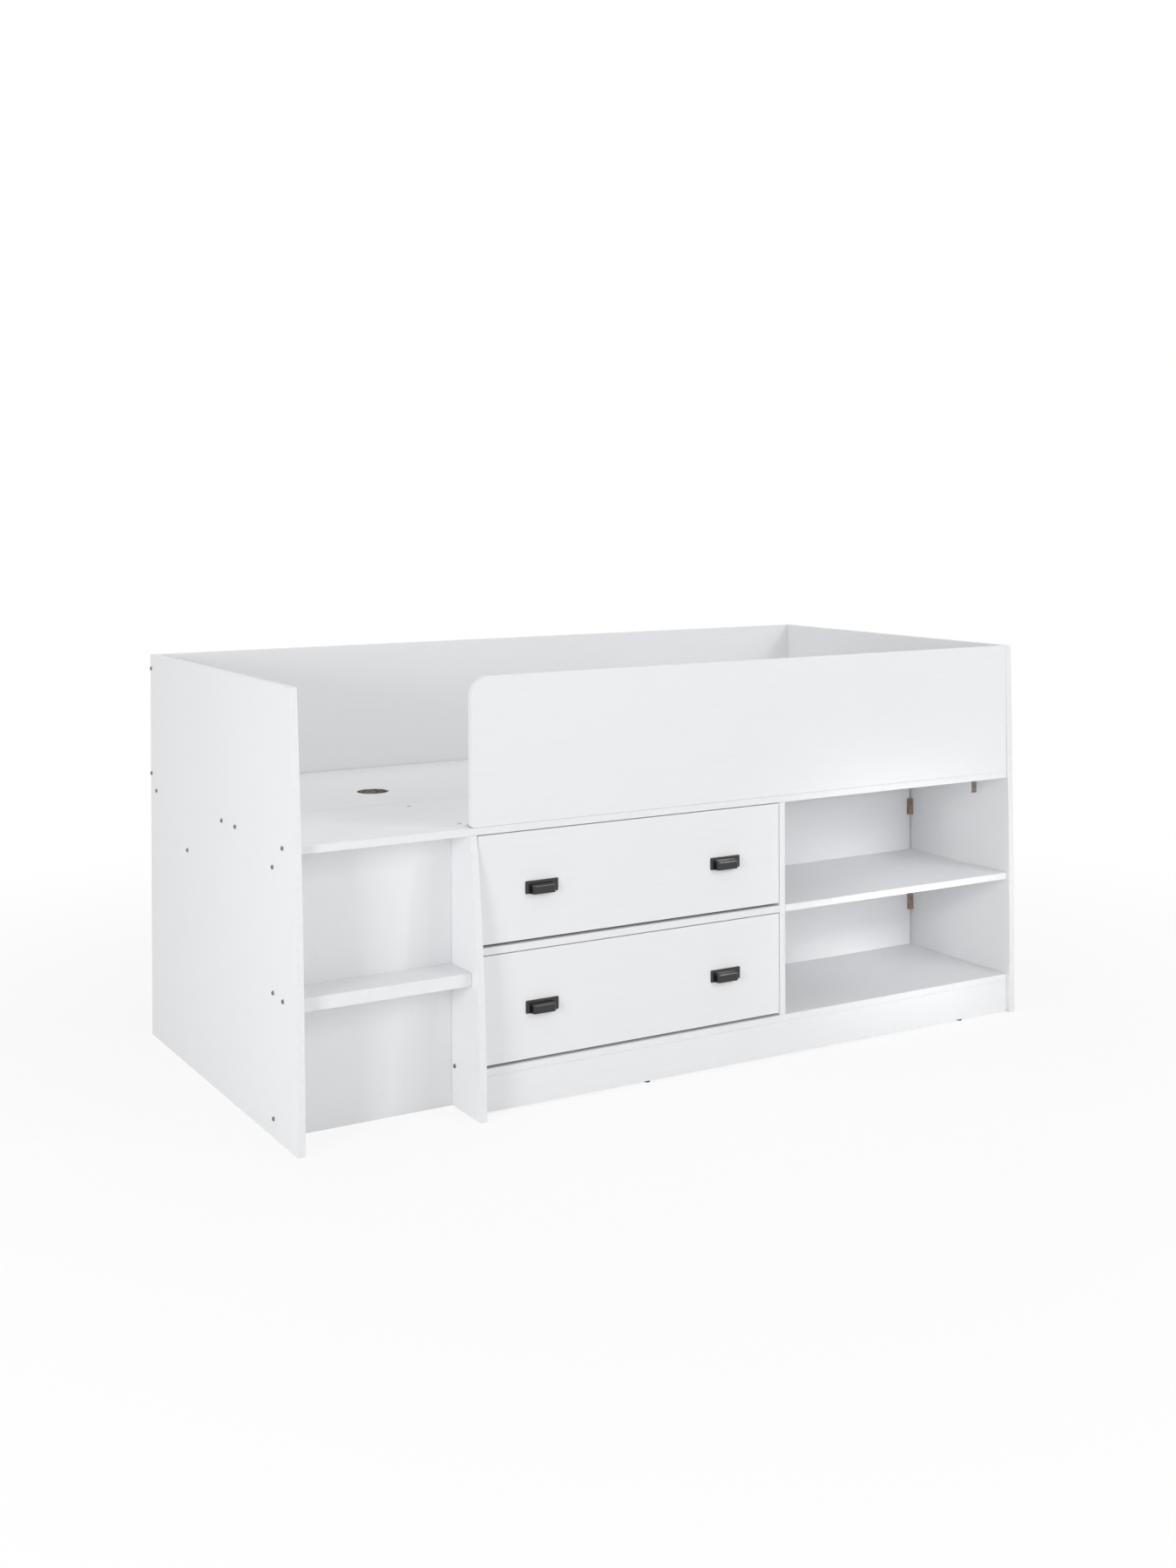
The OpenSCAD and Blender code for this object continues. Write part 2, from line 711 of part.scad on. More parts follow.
module open_bay_shelf() {
    color(white_board) placed() difference() {
        slab([middle_right, 0, shelf_under], [right_in, unit_depth, shelf_top]);
        holes_x(open_shelf_bolts, bed_length - bolt_length - end_play, right_in + over, bolt_diameter);
        holes_x(shelf_dowels, middle_right - over, middle_right + dowel_deep, dowel_diameter);
        screws_forward(unit_screws, unit_back_rear, hole_play);
    }
}
module unit_back_panel() {
    color(white_board) placed() difference() {
        slab([divider_left, unit_depth, 0], [right_in - unit_back_gap, unit_back_rear, deck_under]);
        screws_forward(unit_screws, unit_back_rear, hole_play);
        block_fixings(true);
    }
}
module plinth() {
    color(white_board) placed() difference() {
        slab([divider_right, 0, plinth_lift], [right_in, board, plinth_top]);
        for (x = glide_xs) bar_z([x, glide_y, plinth_lift - over], glide_pin_height + 2 * over,
            glide_pin + 2 * hole_play);
        block_fixings(true);
    }
}
module plinth_glides() {
    color(dark_steel) placed() for (x = glide_xs) {
        bar_z([x, glide_y, 0], plinth_lift, glide_diameter);
        bar_z([x, glide_y, 0], plinth_lift + glide_pin_height, glide_pin);
    }
}

// Joint blocks, seen from one end: the corner between the two glued faces is at [block_width, 0]
module block_outline() {
    polygon([
        [0, 0], [block_width, 0], [block_width, block_depth],
        [block_edge, block_depth], [0, block_depth - block_edge]
    ]);
}
module joint_blocks() {
    color(brown_plastic) placed() difference() {
        union() {
            for (z = corner_block_zs) translate([right_in - block_width, unit_depth, z]) mirror([0, 1, 0])
                linear_extrude(height = block_length, center = true) block_outline();
            for (x = plinth_block_xs) translate([x, board, plinth_top - block_width]) rotate([0, -90, 0])
                linear_extrude(height = block_length, center = true) block_outline();
        }
        block_fixings(true);
    }
}

// Fasteners of the carcass
module panel_bolts() {
    color(dark_steel) placed() {
        bolts_right(left_bolts, 0);
        bolts_left(right_bolts, bed_length);
        bolts_right(divider_bolts, divider_left);
    }
}
module board_screws() {
    color(dark_steel) placed() {
        screws_down(deck_screws, deck_top);
        screws_down(beam_screws, deck_top);
        screws_forward(back_screws, bed_depth);
        screws_forward(unit_screws, unit_back_rear);
    }
}
module panel_dowels() {
    color(beech) placed() {
        for (p = divider_dowels) bar_x([divider_left - dowel_deep + over, p[0], p[1]],
            dowel_deep + dowel_shallow - 2 * over, dowel_diameter);
        for (p = shelf_dowels) bar_x([middle_left - dowel_deep + over, p[0], p[1]],
            2 * dowel_deep + board - 2 * over, dowel_diameter);
        foot_dowels(0);
    }
}
module rail_brackets() {
    color(steel) placed() difference() {
        for (x = bracket_xs) {
            low = [x - bracket_width / 2, board, deck_top];
            slab(low, low + [bracket_width, bracket_leg, bracket_sheet]);
            slab(low, low + [bracket_width, bracket_sheet, bracket_leg]);
        }
        bracket_fixings(true);
    }
}
module small_screws() {
    color(dark_steel) placed() {
        bracket_fixings(false);
        block_fixings(false);
        cleat_fixings(false);
        fixed_runner_fixings(false);
    }
}
module screw_caps() {
    color(white_nylon) placed() for (p = beam_screws)
        bar_z([p[0], p[1], deck_top], cap_height, cap_diameter);
}

// Runner parts in a local frame: x from the carcass face inwards, y backwards from the runner's
// front end, z upwards from its lower edge
module fixed_runner() {
    axle_end = fixed_roller_x + roller_width + roll_gap;
    difference() {
        union() {
            cube([runner_sheet, runner_length, channel_height]);
            cube([channel_reach, runner_length, runner_sheet]);
            translate([0, top_flange_start, channel_height - runner_sheet])
                cube([channel_reach, runner_length - top_flange_start, runner_sheet]);
            bar_x([0, roller_inset, fixed_roller_z], axle_end, axle_diameter);
            bar_x([axle_end, roller_inset, fixed_roller_z], axle_head_height, axle_head);
        }
        for (y = runner_screw_ys) translate([runner_sheet, y, runner_screw_z]) rotate([0, -90, 0])
            small_hole(runner_sheet + over);
    }
}
module fixed_roller() {
    roller_ring(fixed_roller_x, roller_inset, fixed_roller_z);
}
module moving_runner() {
    axle_tip = moving_roller_x - roll_gap - axle_head_height;
    flange_width = moving_web + eps - moving_flange_start;
    difference() {
        union() {
            translate([moving_web, 0, web_foot])
                cube([runner_sheet, runner_length, moving_top + runner_sheet - web_foot]);
            translate([moving_web, 0, web_foot])
                cube([moving_foot + runner_sheet, runner_length, runner_sheet]);
            translate([moving_flange_start, 0, moving_top])
                cube([flange_width, runner_length, runner_sheet]);
            bar_x([axle_tip, moving_roller_y, moving_roller_z], moving_web + eps - axle_tip, axle_diameter);
            bar_x([axle_tip, moving_roller_y, moving_roller_z], axle_head_height, axle_head);
        }
        for (y = runner_screw_ys) translate([moving_web, y, runner_screw_z]) rotate([0, 90, 0])
            small_hole(runner_sheet + over);
    }
}
module moving_roller() {
    roller_ring(moving_roller_x, moving_roller_y, moving_roller_z);
}
module roller_ring(x, y, z) {
    difference() {
        bar_x([x, y, z], roller_width, roller_diameter);
        bar_x([x - over, y, z], roller_width + 2 * over, axle_diameter + 2 * axle_play);
    }
}

// Puts runner parts on the left or the right side of a drawer bay
module on_left(floor_z) {
    translate([divider_right, runner_front, floor_z + runner_lift]) children();
}
module on_right(floor_z) {
    translate([middle_left, runner_front, floor_z + runner_lift]) mirror([1, 0, 0]) children();
}

// Drawer parts, each for the bay whose floor is at floor_z
module at_handles(floor_z) {
    for (side = [-1, 1])
        translate([drawer_mid + side * handle_spread, 0, floor_z + bay_height - front_gap_top - handle_drop])
            children();
}
module drawer_bottom_shape(floor_z, fit) {
    low_z = floor_z + side_foot + bottom_lift - fit;
    slab([box_left + side_thickness - groove_depth - fit, board - groove_depth - fit, low_z],
        [box_right - side_thickness + groove_depth + fit, box_rear - side_thickness + groove_depth + fit,
            low_z + bottom_thickness + 2 * fit]);
}
module drawer_front(floor_z) {
    low = [front_left, 0, floor_z + front_gap_bottom];
    difference() {
        slab(low, low + [front_width, board, front_height]);
        drawer_bottom_shape(floor_z, groove_fit);
        box_dowels(floor_z, hole_play);
        at_handles(floor_z) for (side = [-1, 1]) bar_y([side * boss_spread, -over, boss_height],
            board + 2 * over, handle_screw + 2 * hole_play);
    }
}
module drawer_side(floor_z, x) {
    low = [x, board, floor_z + side_foot];
    difference() {
        slab(low, low + [side_thickness, box_length, side_height]);
        drawer_bottom_shape(floor_z, groove_fit);
        box_dowels(floor_z, hole_play);
        back_screw_bodies(floor_z, hole_play);
        moving_runner_fixings(floor_z, true);
    }
}
module drawer_back(floor_z) {
    low = [box_left + side_thickness, box_rear - side_thickness, floor_z + side_foot];
    difference() {
        slab(low, [box_right - side_thickness, box_rear, floor_z + side_foot + side_height]);
        drawer_bottom_shape(floor_z, groove_fit);
        back_screw_bodies(floor_z, hole_play);
    }
}
module box_dowels(floor_z, play) {
    for (x = [box_left + side_thickness / 2, box_right - side_thickness / 2], z = box_dowel_zs)
        bar_y([x, board - box_dowel_shallow - play, floor_z + z],
            box_dowel_shallow + box_dowel_deep + 2 * play, box_dowel_diameter + 2 * play);
}
module back_screw_bodies(floor_z, play) {
    y = box_rear - side_thickness / 2;
    for (z = back_screw_zs) {
        translate([box_left, y, floor_z + z]) rotate([0, 90, 0])
            countersunk(small_diameter, back_screw_length, small_head, play);
        translate([box_right, y, floor_z + z]) rotate([0, -90, 0])
            countersunk(small_diameter, back_screw_length, small_head, play);
    }
}
module moving_runner_fixings(floor_z, hole) {
    z = floor_z + runner_lift + runner_screw_z;
    for (y = runner_screw_ys) {
        translate([divider_right + moving_web, runner_front + y, z]) rotate([0, 90, 0])
            small_fixing(moving_screw_length, hole);
        translate([middle_left - moving_web, runner_front + y, z]) rotate([0, -90, 0])
            small_fixing(moving_screw_length, hole);
    }
}
module handle_screw_bodies() {
    for (side = [-1, 1]) translate([side * boss_spread, board, boss_height]) {
        bar_y([0, -board - handle_screw_depth, 0], board + handle_screw_depth + eps, handle_screw);
        bar_y([0, 0, 0], handle_screw_head_height, handle_screw_head);
    }
}
module drawer_screws(floor_z) {
    at_handles(floor_z) handle_screw_bodies();
    back_screw_bodies(floor_z, 0);
    moving_runner_fixings(floor_z, false);
}

// Cup handle, from the middle of its plate on the drawer front, reaching towards -y
module plate_outline() {
    w = plate_width / 2;
    h = plate_height / 2;
    square([plate_width - 2 * plate_corner, plate_height], center = true);
    square([plate_width, plate_height - 2 * plate_corner], center = true);
    for (sx = [-1, 1], sz = [-1, 1])
        translate([sx * (w - plate_corner), sz * (h - plate_corner)]) circle(r = plate_corner);
}
// Points from [edge, 0] along a sloping side and round a corner to the cup's front at -reach, for the
// outer skin when inset is 0 and for the skin inside the wall when inset is the wall
function cup_side(edge, inset) = let (
        slope = cup_taper,
        radius = cup_corner - inset,
        start = edge - inset / cos(slope),
        mid_y = cup_corner - cup_reach,
        mid_x = start + mid_y * tan(slope) - radius / cos(slope)
    ) concat([[start, 0]], [for (i = [0:corner_steps])
        let (turn = slope + (90 - slope) * i / corner_steps)
            [mid_x + radius * cos(turn), mid_y - radius * sin(turn)]]);
function mirrored(points) = [for (i = [len(points) - 1:-1:0]) [-points[i][0], points[i][1]]];
module cup_from_above(inset) {
    half = cup_side(cup_width / 2, inset);
    polygon(concat(half, mirrored(half)));
}
module cup_from_side(inset) {
    half = cup_side(cup_height - plate_height / 2, inset);
    low = -plate_height / 2 - (inset > 0 ? over : 0);
    polygon(concat([for (p = half) [p[1], p[0]]], [[inset - cup_reach, low], [0, low]]));
}
module cup_body(inset) {
    intersection() {
        translate([0, 0, -plate_height]) linear_extrude(height = 2 * plate_height) cup_from_above(inset);
        rotate([90, 0, 90]) linear_extrude(height = 2 * cup_width, center = true) cup_from_side(inset);
    }
}
module cup_handle() {
    difference() {
        union() {
            rotate([90, 0, 0]) linear_extrude(height = plate_thickness) plate_outline();
            difference() {
                cup_body(0);
                intersection() {
                    cup_body(cup_wall);
                    translate([-cup_width, -cup_reach - plate_thickness, -plate_height])
                        cube([2 * cup_width, cup_reach, 2 * plate_height]);
                }
            }
            for (side = [-1, 1]) bar_y([side * boss_spread, -boss_end, boss_height],
                boss_reach + eps, boss_diameter);
        }
        for (side = [-1, 1]) bar_y([side * boss_spread, -handle_screw_depth - over, boss_height],
            handle_screw_depth + 2 * over, handle_screw + 2 * hole_play);
    }
}
module handle_at(floor_z, side) {
    translate([drawer_mid + side * handle_spread, 0, floor_z + bay_height - front_gap_top - handle_drop])
        cup_handle();
}

// Fixed runners and rollers
module upper_left_fixed_runner() { color(steel) placed() on_left(upper_floor) fixed_runner(); }
module upper_right_fixed_runner() { color(steel) placed() on_right(upper_floor) fixed_runner(); }
module lower_left_fixed_runner() { color(steel) placed() on_left(lower_floor) fixed_runner(); }
module lower_right_fixed_runner() { color(steel) placed() on_right(lower_floor) fixed_runner(); }
module upper_left_fixed_roller() { color(white_nylon) placed() on_left(upper_floor) fixed_roller(); }
module upper_right_fixed_roller() { color(white_nylon) placed() on_right(upper_floor) fixed_roller(); }
module lower_left_fixed_roller() { color(white_nylon) placed() on_left(lower_floor) fixed_roller(); }
module lower_right_fixed_roller() { color(white_nylon) placed() on_right(lower_floor) fixed_roller(); }

// Upper drawer
module upper_drawer_front() { color(white_board) placed() drawer_front(upper_floor); }
module upper_drawer_left_side() { color(white_board) placed() drawer_side(upper_floor, box_left); }
module upper_drawer_right_side() {
    color(white_board) placed() drawer_side(upper_floor, box_right - side_thickness);
}
module upper_drawer_back() { color(white_board) placed() drawer_back(upper_floor); }
module upper_drawer_bottom() { color(white_board) placed() drawer_bottom_shape(upper_floor, 0); }
module upper_drawer_left_handle() { color(black_satin) placed() handle_at(upper_floor, -1); }
module upper_drawer_right_handle() { color(black_satin) placed() handle_at(upper_floor, 1); }
module upper_drawer_left_runner() { color(steel) placed() on_left(upper_floor) moving_runner(); }
module upper_drawer_right_runner() { color(steel) placed() on_right(upper_floor) moving_runner(); }
module upper_drawer_left_roller() { color(white_nylon) placed() on_left(upper_floor) moving_roller(); }
module upper_drawer_right_roller() { color(white_nylon) placed() on_right(upper_floor) moving_roller(); }
module upper_drawer_screws() { color(dark_steel) placed() drawer_screws(upper_floor); }
module upper_drawer_dowels() { color(beech) placed() box_dowels(upper_floor, 0); }

// Lower drawer
module lower_drawer_front() { color(white_board) placed() drawer_front(lower_floor); }
module lower_drawer_left_side() { color(white_board) placed() drawer_side(lower_floor, box_left); }
module lower_drawer_right_side() {
    color(white_board) placed() drawer_side(lower_floor, box_right - side_thickness);
}
module lower_drawer_back() { color(white_board) placed() drawer_back(lower_floor); }
module lower_drawer_bottom() { color(white_board) placed() drawer_bottom_shape(lower_floor, 0); }
module lower_drawer_left_handle() { color(black_satin) placed() handle_at(lower_floor, -1); }
module lower_drawer_right_handle() { color(black_satin) placed() handle_at(lower_floor, 1); }
module lower_drawer_left_runner() { color(steel) placed() on_left(lower_floor) moving_runner(); }
module lower_drawer_right_runner() { color(steel) placed() on_right(lower_floor) moving_runner(); }
module lower_drawer_left_roller() { color(white_nylon) placed() on_left(lower_floor) moving_roller(); }
module lower_drawer_right_roller() { color(white_nylon) placed() on_right(lower_floor) moving_roller(); }
module lower_drawer_screws() { color(dark_steel) placed() drawer_screws(lower_floor); }
module lower_drawer_dowels() { color(beech) placed() box_dowels(lower_floor, 0); }

left_end_panel();
right_end_panel();
back_board();
guard_rail();
front_deck_board();
rear_deck_board();
rear_deck_beam();
left_deck_cleat();
right_deck_cleat();
nook_divider();
nook_back_panel();
step_board();
middle_divider();
bottom_board();
drawer_bay_shelf();
open_bay_shelf();
unit_back_panel();
plinth();
plinth_glides();
joint_blocks();
panel_bolts();
board_screws();
panel_dowels();
rail_brackets();
small_screws();
screw_caps();
upper_left_fixed_runner();
upper_right_fixed_runner();
lower_left_fixed_runner();
lower_right_fixed_runner();
upper_left_fixed_roller();
upper_right_fixed_roller();
lower_left_fixed_roller();
lower_right_fixed_roller();
upper_drawer_front();
upper_drawer_left_side();
upper_drawer_right_side();
upper_drawer_back();
upper_drawer_bottom();
upper_drawer_left_handle();
upper_drawer_right_handle();
upper_drawer_left_runner();
upper_drawer_right_runner();
upper_drawer_left_roller();
upper_drawer_right_roller();
upper_drawer_screws();
upper_drawer_dowels();
lower_drawer_front();
lower_drawer_left_side();
lower_drawer_right_side();
lower_drawer_back();
lower_drawer_bottom();
lower_drawer_left_handle();
lower_drawer_right_handle();
lower_drawer_left_runner();
lower_drawer_right_runner();
lower_drawer_left_roller();
lower_drawer_right_roller();
lower_drawer_screws();
lower_drawer_dowels();
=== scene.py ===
"""Mid sleeper bed over a step nook, two drawers and two open bays.

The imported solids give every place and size. The boards, cup pulls, runners and fasteners are
modelled over them here, in metres, and each piece gets its finish.
"""

import json
import logging
import math
from contextlib import contextmanager
from dataclasses import dataclass
from enum import Enum, IntEnum
from typing import Callable, Iterator, Mapping, Optional, Sequence, Union

import bmesh
import bpy
from mathutils import Matrix, Vector


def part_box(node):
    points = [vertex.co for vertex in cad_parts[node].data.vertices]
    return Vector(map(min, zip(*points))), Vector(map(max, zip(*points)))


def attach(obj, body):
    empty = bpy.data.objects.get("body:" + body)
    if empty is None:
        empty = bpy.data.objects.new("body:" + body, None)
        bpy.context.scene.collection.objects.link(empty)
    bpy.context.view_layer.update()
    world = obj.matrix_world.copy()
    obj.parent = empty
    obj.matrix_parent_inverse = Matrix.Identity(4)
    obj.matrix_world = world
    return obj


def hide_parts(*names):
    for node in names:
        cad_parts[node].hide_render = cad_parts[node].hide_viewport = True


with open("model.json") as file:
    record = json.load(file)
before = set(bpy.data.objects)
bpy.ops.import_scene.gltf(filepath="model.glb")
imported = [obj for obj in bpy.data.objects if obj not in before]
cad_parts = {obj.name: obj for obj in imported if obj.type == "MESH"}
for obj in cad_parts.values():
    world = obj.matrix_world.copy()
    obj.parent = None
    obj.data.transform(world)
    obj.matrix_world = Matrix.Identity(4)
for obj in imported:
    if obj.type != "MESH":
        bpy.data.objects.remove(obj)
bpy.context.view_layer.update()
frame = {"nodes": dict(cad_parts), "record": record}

Piece = bpy.types.Object
Socket = bpy.types.NodeSocket
Tone = tuple[float, float, float]
Fineness = Union[float, Tone]
PairTest = Callable[[Vector, Vector], bool]

LOG = logging.getLogger("bed")
NEAR = 0.0002
SAME_POINT = 1e-5
END_SHARE = 0.12
COATED_COSINE = 0.8
BAND_COSINE = 0.65
SQUARE_COSINE = 0.95
FACE_COSINE = 0.9


class Axis(Enum):
    """A direction of the bed: along its length, its depth or its height."""

    LENGTH = 0
    DEPTH = 1
    HEIGHT = 2

    def unit(self) -> Vector:
        """Gives the direction as a vector of length one."""
        return Vector([1.0 if i == self.value else 0.0 for i in range(3)])


class Facing(Enum):
    """The way that one side of a board faces."""

    LEFT = (-1.0, 0.0, 0.0)
    RIGHT = (1.0, 0.0, 0.0)
    FRONT = (0.0, -1.0, 0.0)
    REAR = (0.0, 1.0, 0.0)
    DOWN = (0.0, 0.0, -1.0)
    UP = (0.0, 0.0, 1.0)

    def faced_by(self, normal: Vector, least: float) -> bool:
        """Says whether a face's normal points this way, within a cosine."""
        return normal.dot(Vector(self.value)) > least


class Surface(IntEnum):
    """The finish of a board's face, by its place in the board's list of materials."""

    COATED = 0
    BANDED = 1
    RAW = 2


class Level(Enum):
    """The two drawers, by their place in the unit."""

    UPPER = "upper"
    LOWER = "lower"


class Side(Enum):
    """The two sides of the drawer bay, each with the sign of the way to the bay's middle."""

    LEFT = 1.0
    RIGHT = -1.0


class Part(Enum):
    """What edit mode selects, with the mesh's own name for it."""

    VERT = "verts"
    EDGE = "edges"
    FACE = "faces"

    def places(self, found: object) -> tuple[Vector, ...]:
        """Gives a point's place, an edge's two ends, or a face's middle and normal."""
        if self is Part.VERT:
            return (found.co,)
        if self is Part.EDGE:
            return found.verts[0].co, found.verts[1].co
        return found.calc_center_median(), found.normal


# Steps of modelling that the pieces share


def activate(piece: Piece) -> None:
    """Deselects all objects, then selects one piece and makes it active."""
    bpy.ops.object.select_all(action="DESELECT")
    piece.select_set(True)
    bpy.context.view_layer.objects.active = piece


@contextmanager
def editing(piece: Piece) -> Iterator[None]:
    """Opens a piece in edit mode with nothing selected, and closes it afterwards.

    Args:
        piece: The object to edit.

    Returns:
        A context in which edit mode operators act on the piece.
    """
    activate(piece)
    bpy.ops.object.mode_set(mode="EDIT")
    bpy.ops.mesh.select_mode(type="FACE")
    bpy.ops.mesh.select_all(action="DESELECT")
    yield
    bpy.ops.object.mode_set(mode="OBJECT")


def pick(piece: Piece, part: Part, test: Callable[..., bool]) -> None:
    """Selects the points, edges or faces of a piece in edit mode that pass a test.

    Args:
        piece: The object in edit mode.
        part: What to select.
        test: Takes the places that Part gives, and says whether to select.
    """
    bpy.ops.mesh.select_mode(type=part.name)
    bpy.ops.mesh.select_all(action="DESELECT")
    mesh = bmesh.from_edit_mesh(piece.data)
    for found in getattr(mesh, part.value):
        if test(*part.places(found)):
            found.select_set(True)
    if part is Part.VERT:
        mesh.select_flush(True)
    bmesh.update_edit_mesh(piece.data)


def turn_outwards() -> None:
    """Selects all faces of the piece in edit mode and turns them outwards."""
    bpy.ops.mesh.select_all(action="SELECT")
    bpy.ops.mesh.normals_make_consistent(inside=False)


def flip_faces() -> None:
    """Turns all faces of the piece in edit mode round."""
    bpy.ops.mesh.select_all(action="SELECT")
    bpy.ops.mesh.flip_normals()


def pull_out(x: float, y: float, z: float) -> None:
    """Extrudes what is selected in edit mode by a distance along each axis."""
    bpy.ops.mesh.extrude_region_move(TRANSFORM_OT_translate={"value": (x, y, z)})


def inset(rings: Sequence[tuple[float, float]]) -> None:
    """Insets each selected face in edit mode, once for each ring's width and rise."""
    for width, rise in rings:
        bpy.ops.mesh.inset(thickness=width, depth=rise, use_individual=True)


def bevel(
    piece: Piece, test: PairTest, width: float, steps: int, profile: float = 0.5
) -> None:
    """Bevels the edges of a piece that pass a test.

    Args:
        piece: The object.
        test: Takes an edge's two ends, and says whether to bevel it.
        width: How far the bevel reaches from the edge.
        steps: How many facets make it.
        profile: Its roundness, 0.5 being an arc.
    """
    with editing(piece):
        pick(piece, Part.EDGE, test)
        bpy.ops.mesh.bevel(offset=width, segments=steps, profile=profile, affect="EDGES")


def under(height: float) -> PairTest:
    """Gives a test for edges that lie wholly below a height."""
    return lambda a, b: max(a.z, b.z) < height


def over(height: float) -> PairTest:
    """Gives a test for edges that lie wholly above a height."""
    return lambda a, b: min(a.z, b.z) > height


def line_at(x: float, height: float) -> PairTest:
    """Gives a test for edges that run along the depth at a place in length and height."""
    return lambda a, b: all(abs(p.x - x) < NEAR and abs(p.z - height) < NEAR for p in (a, b))


def level_at(height: float, before: float = math.inf) -> PairTest:
    """Gives a test for level faces at a height, whose middles lie in front of a place in depth."""
    return lambda c, n: abs(n.z) > FACE_COSINE and abs(c.z - height) < NEAR and c.y < before


def settle(piece: Piece) -> None:
    """Moves a piece's place, turn and scale into its mesh."""
    activate(piece)
    bpy.ops.object.transform_apply(location=True, rotation=True, scale=True)


def started(name: str, scale: Sequence[float] = (1, 1, 1)) -> Piece:
    """Names, scales and settles the object that the last operator added.

    Args:
        name: Its name.
        scale: Its size along each axis, over the operator's.

    Returns:
        The object.
    """
    piece = bpy.context.active_object
    piece.name = name
    piece.scale = scale
    settle(piece)
    return piece


def new_block(name: str, low: Sequence[float], high: Sequence[float]) -> Piece:
    """Adds a block between two opposite corners, as the start of a piece.

    Args:
        name: The piece's name.
        low: Its lowest corner.
        high: Its highest corner.

    Returns:
        The new object, settled.
    """
    low_corner, high_corner = Vector(low), Vector(high)
    bpy.ops.mesh.primitive_cube_add(size=1, location=(low_corner + high_corner) / 2)
    return started(name, high_corner - low_corner)


def new_sheet(
    name: str,
    middle: Sequence[float],
    size: tuple[float, float],
    turn: Sequence[float] = (0, 0, 0),
) -> Piece:
    """Adds a flat rectangle, as the start of a piece."""
    bpy.ops.mesh.primitive_plane_add(size=1, location=middle, rotation=turn)
    return started(name, (*size, 1))


def new_round(
    name: str,
    start: Sequence[float],
    along: Axis,
    length: float,
    radius: float,
    end_radius: Optional[float] = None,
    sides: int = 32,
) -> Piece:
    """Adds a round bar or cone along an axis, as the start of a piece or a cutter.

    Args:
        name: The piece's name.
        start: The middle of its first end.
        along: The axis that it runs along, towards the positive side.
        length: Its length.
        radius: Its radius at the start.
        end_radius: Its radius at the other end, or None where it is the same.
        sides: How many flats make its round.

    Returns:
        The new object, settled.
    """
    quarter = math.pi / 2
    turns = {Axis.LENGTH: (0, quarter, 0), Axis.DEPTH: (-quarter, 0, 0), Axis.HEIGHT: (0, 0, 0)}
    bpy.ops.mesh.primitive_cone_add(
        vertices=sides,
        radius1=radius,
        radius2=radius if end_radius is None else end_radius,
        depth=length,
        end_fill_type="NGON",
        location=Vector(start) + along.unit() * length / 2,
        rotation=turns[along],
    )
    return started(name)


def apply_modifier(piece: Piece, kind: str, **settings: object) -> None:
    """Adds one modifier with its settings and applies it.

    Args:
        piece: The object that gets it.
        kind: Blender's name for the modifier's type.
        settings: Values of the modifier, by name.
    """
    activate(piece)
    modifier = piece.modifiers.new(kind.title(), kind)
    for name, value in settings.items():
        setattr(modifier, name, value)
    bpy.ops.object.modifier_apply(modifier=modifier.name)


def round_edges(piece: Piece, width: float, segments: int = 2, angle: float = 35.0) -> None:
    """Rounds all edges that are sharper than an angle."""
    limit = math.radians(angle)
    apply_modifier(
        piece, "BEVEL", width=width, segments=segments, limit_method="ANGLE", angle_limit=limit
    )


def thicken(piece: Piece, thickness: float) -> None:
    """Gives a surface its thickness, behind the side that its faces look to."""
    apply_modifier(piece, "SOLIDIFY", thickness=thickness, offset=-1.0, use_even_offset=True)


def smooth_shading(piece: Piece, angle: float = 40.0) -> None:
    """Shades rounded edges smoothly and keeps the large faces flat.

    Args:
        piece: The object to shade.
        angle: Turns sharper than this, in degrees, stay crisp.
    """
    activate(piece)
    bpy.ops.object.shade_smooth_by_angle(angle=math.radians(angle))
    apply_modifier(piece, "WEIGHTED_NORMAL", mode="FACE_AREA", weight=60, keep_sharp=True)


def discard(*pieces: Piece) -> None:
    """Removes patterns and cutters that have done their work."""
    for piece in pieces:
        bpy.data.objects.remove(piece)


def cut(piece: Piece, cutter: Piece) -> None:
    """Takes a cutter's shape out of a piece and removes the cutter."""
    apply_modifier(piece, "BOOLEAN", operation="DIFFERENCE", solver="EXACT", object=cutter)
    discard(cutter)


def join(pieces: Sequence[Piece], name: str) -> Piece:
    """Joins pieces into one object.

    Args:
        pieces: The objects to join, at least one.
        name: The name of the joined object.

    Returns:
        The joined object.
    """
    activate(pieces[0])
    for piece in pieces[1:]:
        piece.select_set(True)
    if len(pieces) > 1:
        bpy.ops.object.join()
    pieces[0].name = name
    return pieces[0]


def copy_of(pattern: Piece, name: str, matrix: Matrix) -> Piece:
    """Copies a piece with its own mesh to a new place.

    Args:
        pattern: The piece to copy.
        name: The copy's name.
        matrix: Where the copy goes, from the pattern's own place.

    Returns:
        The copy, settled.
    """
    piece = pattern.copy()
    piece.data = pattern.data.copy()
    piece.name = name
    bpy.context.scene.collection.objects.link(piece)
    piece.matrix_world = matrix
    settle(piece)
    return piece


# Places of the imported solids


@dataclass(frozen=True)
class Shank:
    """The place and size of one screw, bolt or dowel, read from its solid."""

    head: Vector
    towards: Vector
    length: float
    width: float

    def matrix(self) -> Matrix:
        """Gives the move from the origin, head at zero and tip towards +Z, to this place."""
        turn = Vector((0, 0, 1)).rotation_difference(self.towards).to_matrix().to_4x4()
        return Matrix.Translation(self.head) @ turn


